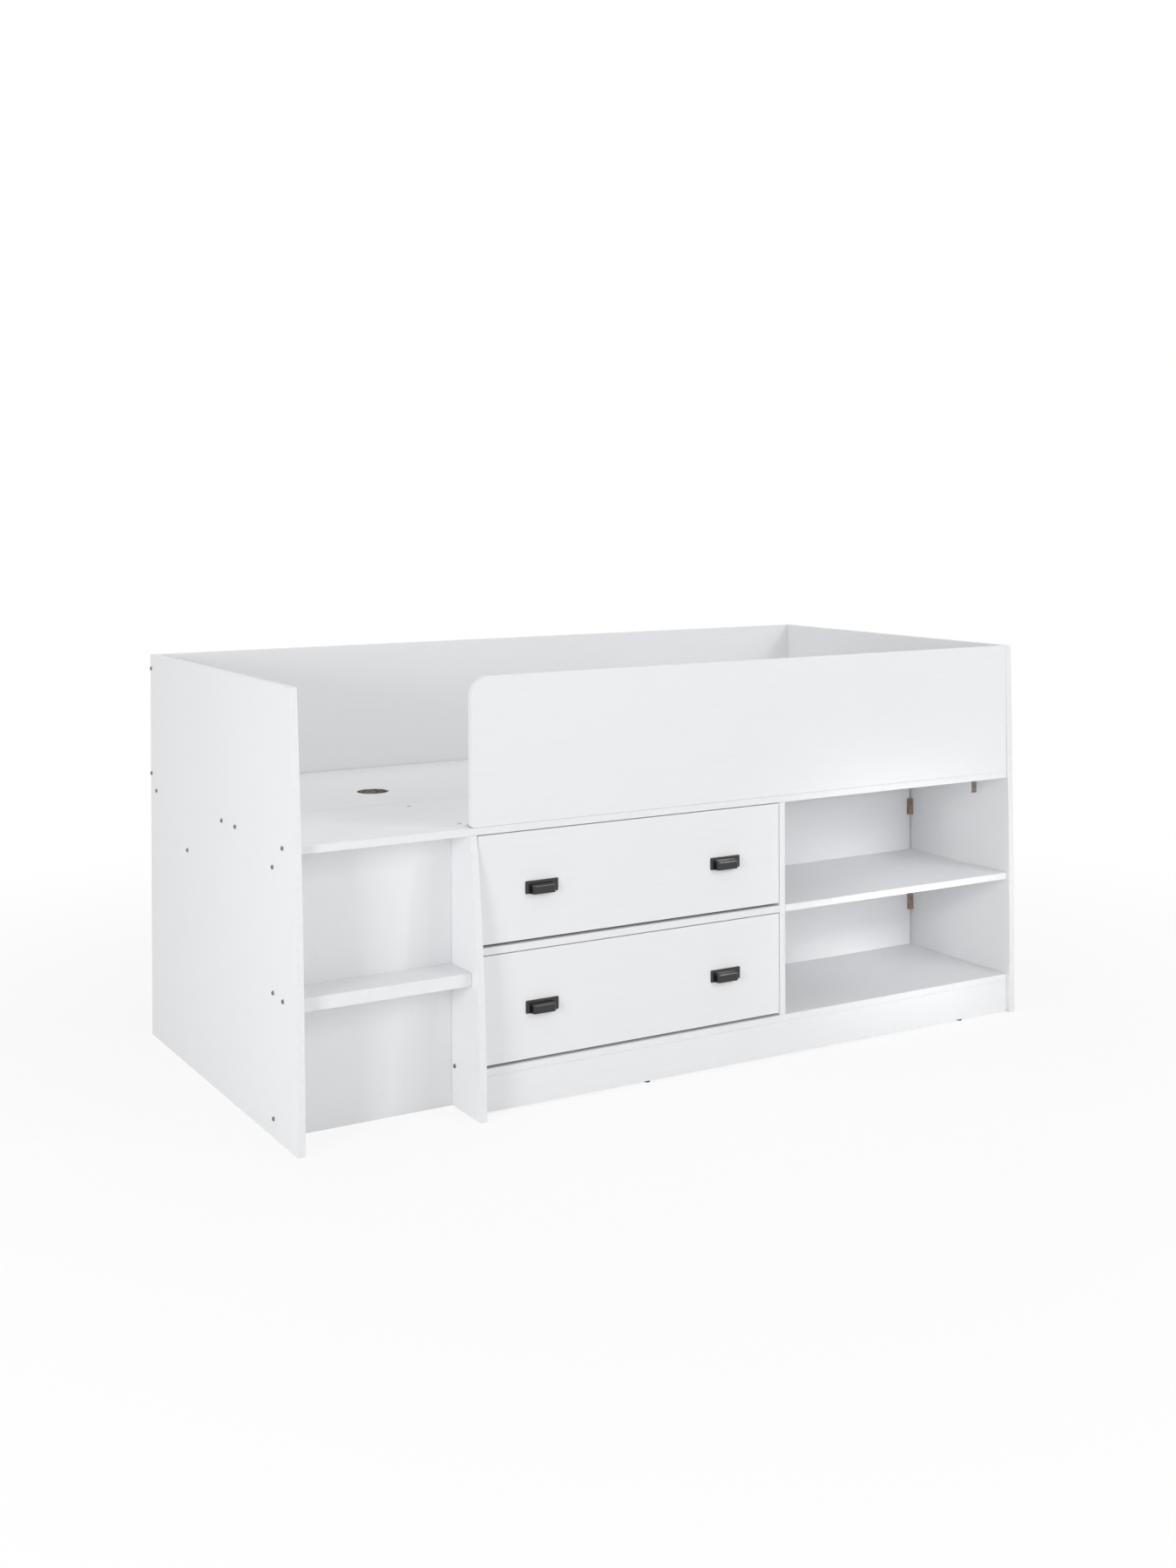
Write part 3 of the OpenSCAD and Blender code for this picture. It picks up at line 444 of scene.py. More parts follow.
def islands(node: str) -> list[list[Vector]]:
    """Sorts a node's points into its separate solids.

    Args:
        node: The CAD node's name.

    Returns:
        The points of each solid.
    """
    mesh = frame["nodes"][node].data
    keys = [tuple(round(c / SAME_POINT) for c in v.co) for v in mesh.vertices]
    parent = {key: key for key in keys}

    def root(key: tuple[int, ...]) -> tuple[int, ...]:
        """Follows a point to the one that stands for its solid."""
        while parent[key] != key:
            parent[key] = parent[parent[key]]
            key = parent[key]
        return key

    for face in mesh.polygons:
        corners = [root(keys[i]) for i in face.vertices]
        for corner in corners[1:]:
            parent[root(corner)] = root(corners[0])
    groups: dict[tuple[int, ...], list[Vector]] = {}
    for vertex, key in zip(mesh.vertices, keys):
        groups.setdefault(root(key), []).append(vertex.co.copy())
    return [groups[key] for key in sorted(groups)]


def extent(points: Sequence[Vector]) -> tuple[Vector, Vector]:
    """Gives the lowest and highest corner of some points."""
    low, high = (Vector([pole(p[i] for p in points) for i in range(3)]) for pole in (min, max))
    return low, high


def solid_boxes(node: str) -> list[tuple[Vector, Vector]]:
    """Gives the lowest and highest corner of each solid in a node."""
    return [extent(points) for points in islands(node)]


def shanks(node: str) -> list[Shank]:
    """Reads the place of each fastener in a node.

    Args:
        node: The CAD node's name.

    Returns:
        One entry for each fastener, its head being its wider end.
    """
    found = []
    for points in islands(node):
        low, high = extent(points)
        size = high - low
        axis = max(range(3), key=lambda i: size[i])
        middle = (low + high) / 2
        reach = {-1: 0.0, 1: 0.0}
        for point in points:
            for end, at in ((-1, low[axis]), (1, high[axis])):
                if abs(point[axis] - at) < END_SHARE * size[axis]:
                    away = point - middle
                    away[axis] = 0.0
                    reach[end] = max(reach[end], away.length)
        end = 1 if reach[1] > reach[-1] + NEAR / 10 else -1
        head = middle.copy()
        head[axis] = high[axis] if end == 1 else low[axis]
        towards = Vector((0, 0, 0))
        towards[axis] = -float(end)
        found.append(Shank(head, towards, size[axis], 2 * max(reach.values())))
    return found


# Finishes


def tinted(tone: Sequence[float], factor: float) -> tuple[float, ...]:
    """Makes a linear colour lighter or darker."""
    return tuple(min(1.0, part * factor) for part in tone)


class Graph:
    """A node tree that is filled node by node."""

    def __init__(self, tree: bpy.types.NodeTree) -> None:
        """Takes the tree that the nodes go into."""
        self.tree = tree

    def feed(self, target: Socket, value: object) -> None:
        """Joins a socket to an input, or sets the input where the value is no socket."""
        if isinstance(value, Socket):
            self.tree.links.new(value, target)
        else:
            target.default_value = value

    def node(
        self, kind: str, inputs: Mapping[Union[str, int], object], **settings: object
    ) -> bpy.types.Node:
        """Adds a node, sets its properties and fills its inputs.

        Args:
            kind: Blender's name for the node's type.
            inputs: Values or sockets, by the input's name or number.
            settings: Properties of the node, by name.

        Returns:
            The new node.
        """
        made = self.tree.nodes.new(kind)
        for name, value in settings.items():
            setattr(made, name, value)
        for name, value in inputs.items():
            self.feed(made.inputs[name], value)
        return made


class Recipe(Graph):
    """The node tree of one material, with the steps that most finishes share."""

    def __init__(self, name: str) -> None:
        """Starts a material with one shader.

        Args:
            name: The material's name.
        """
        self.material = bpy.data.materials.new(name)
        self.material.use_nodes = True
        super().__init__(self.material.node_tree)
        self.shader = self.tree.nodes["Principled BSDF"]
        self.place = self.node("ShaderNodeTexCoord", {}).outputs["Object"]

    def stretched(self, scale: Sequence[float]) -> Socket:
        """Gives object coordinates scaled along each axis."""
        inputs = {"Scale": tuple(scale), "Vector": self.place}
        return self.node("ShaderNodeMapping", inputs).outputs["Vector"]

    def noise(self, fineness: Fineness, detail: float, layers: float = 0.5) -> Socket:
        """Adds a noise pattern.

        Args:
            fineness: How fine it is, all round or along each axis.
            detail: How many finer layers it has.
            layers: How strong the finer layers are.

        Returns:
            The pattern's value, around one half.
        """
        where, scale = self.place, fineness
        if isinstance(fineness, tuple):
            where, scale = self.stretched(fineness), 1.0
        inputs = {"Scale": scale, "Detail": detail, "Roughness": layers, "Vector": where}
        return self.node("ShaderNodeTexNoise", inputs).outputs["Fac"]

    def chips(self, where: Socket, scale: float, channel: str = "Red") -> tuple[Socket, Socket]:
        """Adds a pattern of irregular cells.

        Args:
            where: The coordinates that it reads.
            scale: How fine it is.
            channel: The part of the cells' colours that gives each its value.

        Returns:
            The distance from each cell's middle, and each cell's value.
        """
        cells = self.node("ShaderNodeTexVoronoi", {"Scale": scale, "Vector": where})
        shades = self.node("ShaderNodeSeparateColor", {"Color": cells.outputs["Color"]})
        return cells.outputs["Distance"], shades.outputs[channel]

    def blend(self, first: Socket, second: Socket, share: float) -> Socket:
        """Mixes two values."""
        inputs = {"Factor": share, "A": first, "B": second}
        return self.node("ShaderNodeMix", inputs, data_type="FLOAT").outputs["Result"]

    def colour(self, value: Socket, stops: Sequence[tuple[float, Sequence[float]]]) -> None:
        """Colours the surface by a value.

        Args:
            value: The value to read.
            stops: Places from 0 to 1, each with its linear colour.
        """
        made = self.node("ShaderNodeValToRGB", {"Fac": value})
        elements = made.color_ramp.elements
        while len(elements) < len(stops):
            elements.new(0.5)
        for element, (position, colour) in zip(elements, stops):
            element.position = position
            element.color = (*colour, 1.0)
        self.fill("Base Color", made.outputs["Color"])

    def tint(self, value: Socket, tone: Tone, shades: Sequence[tuple[float, float]]) -> None:
        """Colours the surface with lighter and darker shades of one tone."""
        self.colour(value, [(place, tinted(tone, factor)) for place, factor in shades])

    def roughness(self, value: Socket, low: float, high: float) -> None:
        """Makes the surface's roughness follow a noise value."""
        made = self.node(
            "ShaderNodeMapRange",
            {"From Min": 0.3, "From Max": 0.7, "To Min": low, "To Max": high, "Value": value},
        )
        self.fill("Roughness", made.outputs["Result"])

    def relief(self, height: Socket, strength: float, depth: float) -> None:
        """Gives the surface a relief."""
        inputs = {"Strength": strength, "Distance": depth, "Height": height}
        self.fill("Normal", self.node("ShaderNodeBump", inputs).outputs["Normal"])

    def fill(self, name: str, value: object) -> None:
        """Sets or joins one input of the shader."""
        self.feed(self.shader.inputs[name], value)


class Finish:
    """A surface finish that builds its material once and then hands out the same one."""

    label: str

    def mix(self, recipe: Recipe) -> None:
        """Fills in the material's nodes."""
        raise NotImplementedError

    def material(self) -> bpy.types.Material:
        """Gives the finish's material, and builds it the first time.

        Returns:
            The material.
        """
        known = bpy.data.materials.get(self.label)
        if known is None:
            recipe = Recipe(self.label)
            self.mix(recipe)
            known = recipe.material
        return known


@dataclass(frozen=True)
class CoatedFace(Finish):
    """White coating on a board's face, with a faint grain pressed into it."""

    grain: Axis
    tone: Tone = (0.880, 0.887, 0.900)
    streak_width: float = 0.0022
    streak_length: float = 0.16
    streak_detail: float = 4.0
    streak_layers: float = 0.6
    cloud_fineness: float = 2.2
    cloud_detail: float = 2.0
    cloud_share: float = 0.35
    shades: tuple[tuple[float, float], ...] = ((0.30, 0.978), (0.5, 1.0), (0.70, 1.012))
    sheen: tuple[float, float] = (0.40, 0.52)
    relief: tuple[float, float] = (0.16, 0.00008)
    specular: float = 0.4

    @property
    def label(self) -> str:
        """The material's name, with the way of its grain."""
        return f"white_coating_grain_{self.grain.name.lower()}"

    def mix(self, recipe: Recipe) -> None:
        """Lays grain streaks, a soft clouding and a fine relief over the white.

        Args:
            recipe: The material's recipe.
        """
        across, along = 1 / self.streak_width, 1 / self.streak_length
        fineness = tuple(along if axis is self.grain else across for axis in Axis)
        streaks = recipe.noise(fineness, self.streak_detail, self.streak_layers)
        clouds = recipe.noise(self.cloud_fineness, self.cloud_detail)
        recipe.tint(recipe.blend(streaks, clouds, self.cloud_share), self.tone, self.shades)
        recipe.roughness(streaks, *self.sheen)
        recipe.relief(streaks, *self.relief)
        recipe.fill("Specular IOR Level", self.specular)


@dataclass(frozen=True)
class RawChipboard(Finish):
    """Bare chipboard where a board was cut and not banded."""

    label: str = "raw_chipboard"
    dark: Tone = (0.060, 0.052, 0.045)
    middle: Tone = (0.25, 0.215, 0.18)
    light: Tone = (0.60, 0.55, 0.49)
    flattening: Tone = (1.0, 1.0, 1.6)
    large_scale: float = 420.0
    small_scale: float = 1100.0
    small_share: float = 0.45
    places: Tone = (0.15, 0.5, 0.85)
    relief: tuple[float, float] = (0.6, 0.0005)
    rough: float = 0.9

    def mix(self, recipe: Recipe) -> None:
        """Packs light and dark chips of two sizes with pits between them.

        Args:
            recipe: The material's recipe.
        """
        pits, large = recipe.chips(recipe.stretched(self.flattening), self.large_scale)
        _, small = recipe.chips(recipe.place, self.small_scale, "Green")
        both = recipe.blend(large, small, self.small_share)
        recipe.colour(both, list(zip(self.places, (self.dark, self.middle, self.light))))
        recipe.relief(pits, *self.relief)
        recipe.fill("Roughness", self.rough)


@dataclass(frozen=True)
class Mottled(Finish):
    """A finish with one pattern for its tone and sheen, and a relief of that or a finer one."""

    label: str = "mottled"
    tone: Tone = (0.5, 0.5, 0.5)
    fineness: Fineness = 60.0
    detail: float = 3.0
    layers: float = 0.5
    shades: tuple[tuple[float, float], ...] = ((0.3, 0.9), (0.7, 1.1))
    sheen: tuple[float, float] = (0.4, 0.5)
    skin: Optional[float] = None
    skin_detail: float = 2.0
    relief: tuple[float, float] = (0.15, 0.00005)
    metallic: float = 0.0
    specular: float = 0.5

    def toning(self, recipe: Recipe, pattern: Socket) -> Socket:
        """Gives the value that the tone follows, here the pattern itself."""
        return pattern

    def mix(self, recipe: Recipe) -> None:
        """Lays the pattern and the relief.

        Args:
            recipe: The material's recipe.
        """
        pattern = recipe.noise(self.fineness, self.detail, self.layers)
        recipe.tint(self.toning(recipe, pattern), self.tone, self.shades)
        recipe.roughness(pattern, *self.sheen)
        raised = recipe.noise(self.skin, self.skin_detail) if self.skin else pattern
        recipe.relief(raised, *self.relief)
        recipe.fill("Metallic", self.metallic)
        recipe.fill("Specular IOR Level", self.specular)


@dataclass(frozen=True)
class EdgeBand(Mottled):
    """Smooth white band on a board's narrow faces, with a slight orange-peel relief."""

    label: str = "white_edge_band"
    tone: Tone = (0.880, 0.886, 0.897)
    shades: tuple[tuple[float, float], ...] = ((0.3, 0.975), (0.7, 1.01))
    sheen: tuple[float, float] = (0.34, 0.42)
    skin: Optional[float] = 900.0


@dataclass(frozen=True)
class SatinBlack(Mottled):
    """Satin black powder coat of the cup pulls, with a fine grain and slightly uneven sheen."""

    label: str = "satin_black"
    tone: Tone = (0.003, 0.003, 0.0035)
    fineness: Fineness = 90.0
    shades: tuple[tuple[float, float], ...] = ((0.3, 0.8), (0.7, 1.35))
    sheen: tuple[float, float] = (0.13, 0.18)
    skin: Optional[float] = 2600.0
    relief: tuple[float, float] = (0.12, 0.00002)
    specular: float = 0.72


@dataclass(frozen=True)
class SheetSteel(Mottled):
    """Zinc plated sheet of the runners and brackets: rolling marks and a cloudy spangle."""

    label: str = "zinc_plated_sheet"
    tone: Tone = (0.72, 0.73, 0.75)
    fineness: Fineness = (1800.0, 25.0, 1800.0)
    shades: tuple[tuple[float, float], ...] = ((0.2, 0.86), (0.8, 1.08))
    sheen: tuple[float, float] = (0.30, 0.42)
    relief: tuple[float, float] = (0.12, 0.00003)
    metallic: float = 1.0
    spangle_scale: float = 130.0
    spangle_share: float = 0.3

    def toning(self, recipe: Recipe, pattern: Socket) -> Socket:
        """Mixes the spangle into the rolling marks."""
        _, spangle = recipe.chips(recipe.place, self.spangle_scale)
        return recipe.blend(pattern, spangle, self.spangle_share)


@dataclass(frozen=True)
class DarkSteel(Mottled):
    """Dark plated steel of the bolts and screws, with small patches of sheen."""

    label: str = "dark_plated_steel"
    tone: Tone = (0.20, 0.20, 0.205)
    fineness: Fineness = 700.0
    shades: tuple[tuple[float, float], ...] = ((0.3, 0.7), (0.7, 1.5))
    sheen: tuple[float, float] = (0.28, 0.44)
    skin: Optional[float] = 3000.0
    relief: tuple[float, float] = (0.15, 0.00003)
    metallic: float = 0.85


@dataclass(frozen=True)
class MouldedPlastic(Mottled):
    """A moulded plastic with faint flow marks and a fine matt skin."""

    fineness: Fineness = (40.0, 60.0, 90.0)
    shades: tuple[tuple[float, float], ...] = ((0.3, 0.90), (0.7, 1.06))
    skin: Optional[float] = 1800.0
    relief: tuple[float, float] = (0.2, 0.00004)


@dataclass(frozen=True)
class Beech(Mottled):
    """Plain beech of the dowels, with fine pores along them."""

    label: str = "beech_dowel"
    tone: Tone = (0.56, 0.36, 0.19)
    fineness: Fineness = (60.0, 60.0, 1200.0)
    detail: float = 4.0
    layers: float = 0.6
    shades: tuple[tuple[float, float], ...] = ((0.3, 0.7), (0.65, 1.0))
    sheen: tuple[float, float] = (0.5, 0.62)
    relief: tuple[float, float] = (0.3, 0.0001)


NYLON = MouldedPlastic("white_nylon", (0.70, 0.70, 0.67), sheen=(0.38, 0.47))
BROWN_PLASTIC = MouldedPlastic("brown_plastic", (0.215, 0.192, 0.170), sheen=(0.46, 0.55))
BLACK_PLASTIC = MouldedPlastic("black_plastic", (0.05, 0.05, 0.05), sheen=(0.51, 0.60))


def dress(
    piece: Piece,
    finishes: Sequence[Finish],
    choose: Callable[[Vector, Vector], int] = lambda middle, normal: 0,
) -> None:
    """Gives a piece its materials, face by face.

    Args:
        piece: The object to dress.
        finishes: The finishes that it has.
        choose: Takes a face's middle and normal, and gives the number of its finish.
    """
    piece.data.materials.clear()
    for finish in finishes:
        piece.data.materials.append(finish.material())
    for face in piece.data.polygons:
        face.material_index = choose(face.center, face.normal)


def dress_node(node: str, finish: Finish) -> None:
    """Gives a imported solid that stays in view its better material.

    Args:
        node: The CAD node's name.
        finish: Its finish.
    """
    solid = frame["nodes"][node]
    if not solid.material_slots:
        solid.data.materials.append(finish.material())
    for slot in solid.material_slots:
        slot.material = finish.material()
    LOG.info("dressed %s", node)


def install(piece: Piece, node: str) -> None:
    """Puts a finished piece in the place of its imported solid.

    Args:
        piece: The finished object.
        node: The CAD node that it stands for.
    """
    record = frame["record"]
    body = next(name for name, nodes in record["behaviour"]["bodies"].items() if node in nodes)
    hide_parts(node)
    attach(piece, body)
    LOG.info("built %s with %d faces", piece.name, len(piece.data.polygons))


def complete(piece: Piece, node: str, finish: Finish, angle: float = 40.0) -> None:
    """Shades a piece of one finish, dresses it and puts it in place.

    Args:
        piece: The shaped object.
        node: The CAD node that it stands for.
        finish: Its finish.
        angle: Turns sharper than this, in degrees, stay crisp.
    """
    smooth_shading(piece, angle)
    dress(piece, [finish])
    install(piece, node)


# Boards


@dataclass
class Board:
    """A coated board, cut to its solid's box less a hairline at joints, with some edges banded."""

    node: str
    across: Axis
    grain: Axis
    banded: tuple[Facing, ...] = ()
    rounding: float = 0.0005
    joint: float = 0.00025
    drop: float = 0.0

    def corners(self) -> tuple[Vector, Vector]:
        """Gives its lowest corner, let down by the drop, and its highest, both less the joint."""
        low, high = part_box(self.node)
        for axis in Axis:
            if axis is not self.across:
                low[axis.value] += self.joint if low[axis.value] > NEAR else 0.0
                high[axis.value] -= self.joint
        low.z -= self.drop
        return low, high

    def shape(self) -> Piece:
        """Cuts the board to size and rounds its edges.

        Returns:
            The board, before any holes.
        """
        piece = new_block(f"{self.node}_piece", *self.corners())
        round_edges(piece, self.rounding)
        return piece

    def surface(self, middle: Vector, normal: Vector) -> Surface:
        """Chooses the finish of a face.

        Args:
            middle: The face's middle.
            normal: The face's normal.

        Returns:
            The finish.
        """
        if abs(normal.dot(self.across.unit())) > COATED_COSINE:
            return Surface.COATED
        if any(side.faced_by(normal, BAND_COSINE) for side in self.banded):
            return Surface.BANDED
        if any(side.faced_by(normal, SQUARE_COSINE) for side in Facing):
            return Surface.RAW
        return Surface.COATED

    def finish(self, piece: Piece) -> None:
        """Coats the faces, bands the edges that show, leaves the rest bare and installs the board.

        Args:
            piece: The shaped board.
        """
        smooth_shading(piece)
        dress(piece, [CoatedFace(self.grain), EdgeBand(), RawChipboard()], self.surface)
        install(piece, self.node)

    def build(self) -> None:
        """Makes a plain board without holes."""
        self.finish(self.shape())


@dataclass
class FlaredBoard(Board):
    """An upright panel whose front edge sweeps forward towards its foot, as one large arc."""

    front_plane: float = 0.0
    rises: int = 24

    def edge_place(self, flare: float, height: float, z: float) -> float:
        """Gives the front edge's place in depth at a height."""
        radius = (height * height + flare * flare) / (2 * flare)
        return self.front_plane + radius - flare - math.sqrt(radius * radius - z * z)

    def shape(self) -> Piece:
        """Raises the panel from its foot in steps and draws its front edge back at each.

        Returns:
            The panel.
        """
        low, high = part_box(self.node)
        flare, height = self.front_plane - low.y, high.z - low.z - self.joint
        high.y -= self.joint
        middle = ((low.x + high.x) / 2, (low.y + high.y) / 2, low.z)
        piece = new_sheet(f"{self.node}_piece", middle, (high.x - low.x, high.y - low.y))
        with editing(piece):
            bpy.ops.mesh.select_all(action="SELECT")
            for step in range(1, self.rises + 1):
                top = height * step / self.rises
                pull_out(0, 0, height / self.rises)
                before = self.edge_place(flare, height, height * (step - 1) / self.rises)
                pick(
                    piece,
                    Part.VERT,
                    lambda p: abs(p.z - low.z - top) < NEAR and abs(p.y - before) < NEAR,
                )
                move = self.edge_place(flare, height, top) - before
                bpy.ops.transform.translate(value=(0, move, 0))
                pick(piece, Part.FACE, level_at(low.z + top))
            turn_outwards()
        round_edges(piece, self.rounding)
        return piece


@dataclass
class SeatedBoard(Board):
    """A board with sunk seats for the countersunk screws whose heads lie in one of its faces."""

    seated: Axis = Axis.DEPTH
    depth: float = 0.0028
    play: float = 0.0001
    lip: float = 0.001
    foot: float = 0.00235
    sides: int = 48

    def screws(self) -> list[Shank]:
        """Reads the screws whose heads lie in the face, and within the board's depth."""
        _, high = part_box(self.node)
        axis = self.seated.value
        return [
            screw
            for screw in shanks("board_screws")
            if abs(screw.head[axis] - high[axis]) < NEAR
            and (self.seated is Axis.DEPTH or screw.head.y < high.y)
        ]

    def shape(self) -> Piece:
        """Cuts the board and a seat for each screw.

        Returns:
            The board.
        """
        piece, screws = super().shape(), self.screws()
        head = screws[0].width / 2 + self.play
        slope = (head - self.foot) / self.depth
        pattern = new_round(
            "seat_cutter",
            (0, 0, -self.lip),
            Axis.HEIGHT,
            self.depth + self.lip,
            head + slope * self.lip,
            head - slope * self.depth,
            self.sides,
        )
        seats = [copy_of(pattern, "seat", screw.matrix()) for screw in screws]
        discard(pattern)
        cut(piece, join(seats, "seats"))
        return piece


# Fasteners


@dataclass
class DomedBolt:
    """A panel bolt with a domed head and a six-sided socket."""

    head_radius: float = 0.0047
    head_height: float = 0.003
    shank_radius: float = 0.0035
    length: float = 0.053
    socket_radius: float = 0.0023
    socket_depth: float = 0.0021
    dome: float = 0.0019
    dome_profile: float = 0.55
    brim: float = 0.0003
    lip: float = 0.001
    overlap: float = 0.0002
    chamfer: float = 0.0008
    sides: int = 24

    def pattern(self) -> Piece:
        """Models one bolt with its head's top at the origin and its tip towards +Z.

        Returns:
            The bolt.
        """
        up = Axis.HEIGHT
        head = new_round("bolt_pattern", (0, 0, 0), up, self.head_height, self.head_radius)
        bevel(head, under(NEAR), self.dome, 6, self.dome_profile)
        bevel(head, over(self.head_height - NEAR), self.brim, 2)
        start, deep = (0, 0, -self.lip), self.socket_depth + self.lip
        cut(head, new_round("socket_cutter", start, up, deep, self.socket_radius, sides=6))
        start = self.head_height - self.overlap
        shank = new_round(
            "shank", (0, 0, start), up, self.length - start, self.shank_radius, sides=self.sides
        )
        bevel(shank, over(self.length - NEAR), self.chamfer, 1)
        return join([head, shank], "bolt_pattern")


@dataclass
class CrossScrew:
    """A screw with a cross recess in a flat countersunk head or a low round head."""

    head_radius: float
    head_height: float
    shank_radius: float
    length: float
    sunk: bool
    sink: float = 0.00008
    dome_share: float = 0.55
    arm_share: float = 0.52
    width_share: float = 0.13
    recess_share: float = 0.62
    lip: float = 0.001
    overlap: float = 0.0001
    tip_share: float = 0.12
    tip_radius: float = 0.0003
    sides: int = 16

    def pattern(self) -> Piece:
        """Models one screw with its head's top at the origin and its tip towards +Z.

        Returns:
            The screw.
        """
        up = Axis.HEIGHT
        narrow = self.shank_radius if self.sunk else self.head_radius
        top = self.sink if self.sunk else 0.0
        high = self.head_height - top
        head = new_round("screw_head", (0, 0, top), up, high, self.head_radius, narrow)
        if not self.sunk:
            bevel(head, under(NEAR), self.head_height * self.dome_share, 4)
        arm, width = self.head_radius * self.arm_share, self.head_radius * self.width_share
        deep = self.head_height * self.recess_share
        for reach, half in ((arm, width), (width, arm)):
            cut(head, new_block("cross_cutter", (-reach, -half, -self.lip), (reach, half, deep)))
        start = self.head_height - self.overlap
        tip = self.length * self.tip_share
        end = self.length - tip
        shank = new_round(
            "shank", (0, 0, start), up, end - start, self.shank_radius, sides=self.sides
        )
        point = new_round(
            "tip", (0, 0, end), up, tip, self.shank_radius, self.tip_radius, self.sides
        )
        return join([head, shank, point], "screw_pattern")


def set_fasteners(
    node: str, kinds: Sequence[tuple[Callable[[Shank], bool], Piece]], angle: float = 35.0
) -> None:
    """Puts a copy of the right pattern at each fastener of a node and joins them to one piece.

    Args:
        node: The CAD node that holds the fasteners.
        kinds: Tests of a fastener's size, each with the pattern that it gets.
        angle: Turns sharper than this, in degrees, stay crisp.
    """
    copies = []
    for shank in shanks(node):
        pattern = next(made for test, made in kinds if test(shank))
        copies.append(copy_of(pattern, "fastener", shank.matrix()))
    complete(join(copies, f"{node}_piece"), node, DarkSteel(), angle)
    discard(*(made for _, made in kinds))


@dataclass
class Fasteners:
    """All bolts and screws of the bed, with the caps over the beam's screws."""

    small_head: float = 0.00325
    small_height: float = 0.0012
    small_shank: float = 0.00175
    runner_length: float = 0.010
    board_head: float = 0.0045
    board_shank: float = 0.00225
    board_length: float = 0.048
    sunk_height: float = 0.0028
    handle_screw: tuple[float, float, float, float] = (0.0038, 0.0022, 0.002, 0.0252)
    back_length: float = 0.030
    longest_runner_screw: float = 0.015
    shortest_back_screw: float = 0.028
    cap_round: float = 0.0005
    cap_sides: int = 40

    def small_screw(self, length: float) -> Piece:
        """Models a low round-headed screw of a length under its head."""
        high = self.small_height
        return CrossScrew(self.small_head, high, self.small_shank, length + high, False).pattern()

    def build_carcass(self) -> None:
        """Sets the fasteners that stay with the carcass."""
        set_fasteners("panel_bolts", [(lambda s: True, DomedBolt().pattern())])
        board_screw = CrossScrew(
            self.board_head, self.sunk_height, self.board_shank, self.board_length, True
        )
        set_fasteners("board_screws", [(lambda s: True, board_screw.pattern())])
        lengths = sorted({round(s.length, 4) for s in shanks("small_screws")})
        kinds = [
            (
                lambda s, wanted=length: abs(s.length - wanted) < NEAR,
                self.small_screw(length - self.small_height),
            )
            for length in lengths
        ]
        set_fasteners("small_screws", kinds)

    def build_drawer(self, level: Level) -> None:
        """Sets the screws that slide with a drawer.

        Args:
            level: The drawer.
        """
        handle_screw = CrossScrew(*self.handle_screw, False).pattern()
        back_screw = CrossScrew(
            self.small_head, self.sunk_height, self.small_shank, self.back_length, True
        ).pattern()
        kinds = [
            (lambda s: s.length < self.longest_runner_screw, self.small_screw(self.runner_length)),
            (lambda s: s.length > self.shortest_back_screw, back_screw),
            (lambda s: True, handle_screw),
        ]
        set_fasteners(f"{level.value}_drawer_screws", kinds)

    def build_caps(self) -> None:
        """Makes the low domed caps on the deck."""
        caps = []
        for low, high in solid_boxes("screw_caps"):
            middle, size = (low + high) / 2, high - low
            start = (middle.x, middle.y, low.z)
            cap = new_round("cap", start, Axis.HEIGHT, size.z, size.x / 2, sides=self.cap_sides)
            bevel(cap, over(high.z - NEAR), self.cap_round, 4)
            caps.append(cap)
        complete(join(caps, "screw_caps_piece"), "screw_caps", NYLON)

    def build(self) -> None:
        """Sets all fasteners of the carcass and both drawers."""
        self.build_carcass()
        self.build_caps()
        for level in Level:
            self.build_drawer(level)
        for node in ("panel_dowels", "upper_drawer_dowels", "lower_drawer_dowels"):
            dress_node(node, Beech())


# Sub-assemblies


@dataclass
class EndPanels:
    """The two tall end panels with their flared feet."""

    rises: int = 28

    def build(self) -> None:
        """Builds both panels."""
        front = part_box("plinth")[0].y
        around = (Facing.FRONT, Facing.REAR, Facing.UP, Facing.DOWN)
        for node in ("left_end_panel", "right_end_panel"):
            FlaredBoard(
                node,
                Axis.LENGTH,
                Axis.HEIGHT,
                around,
                joint=0.0,
                front_plane=front,
                rises=self.rises,
            ).build()


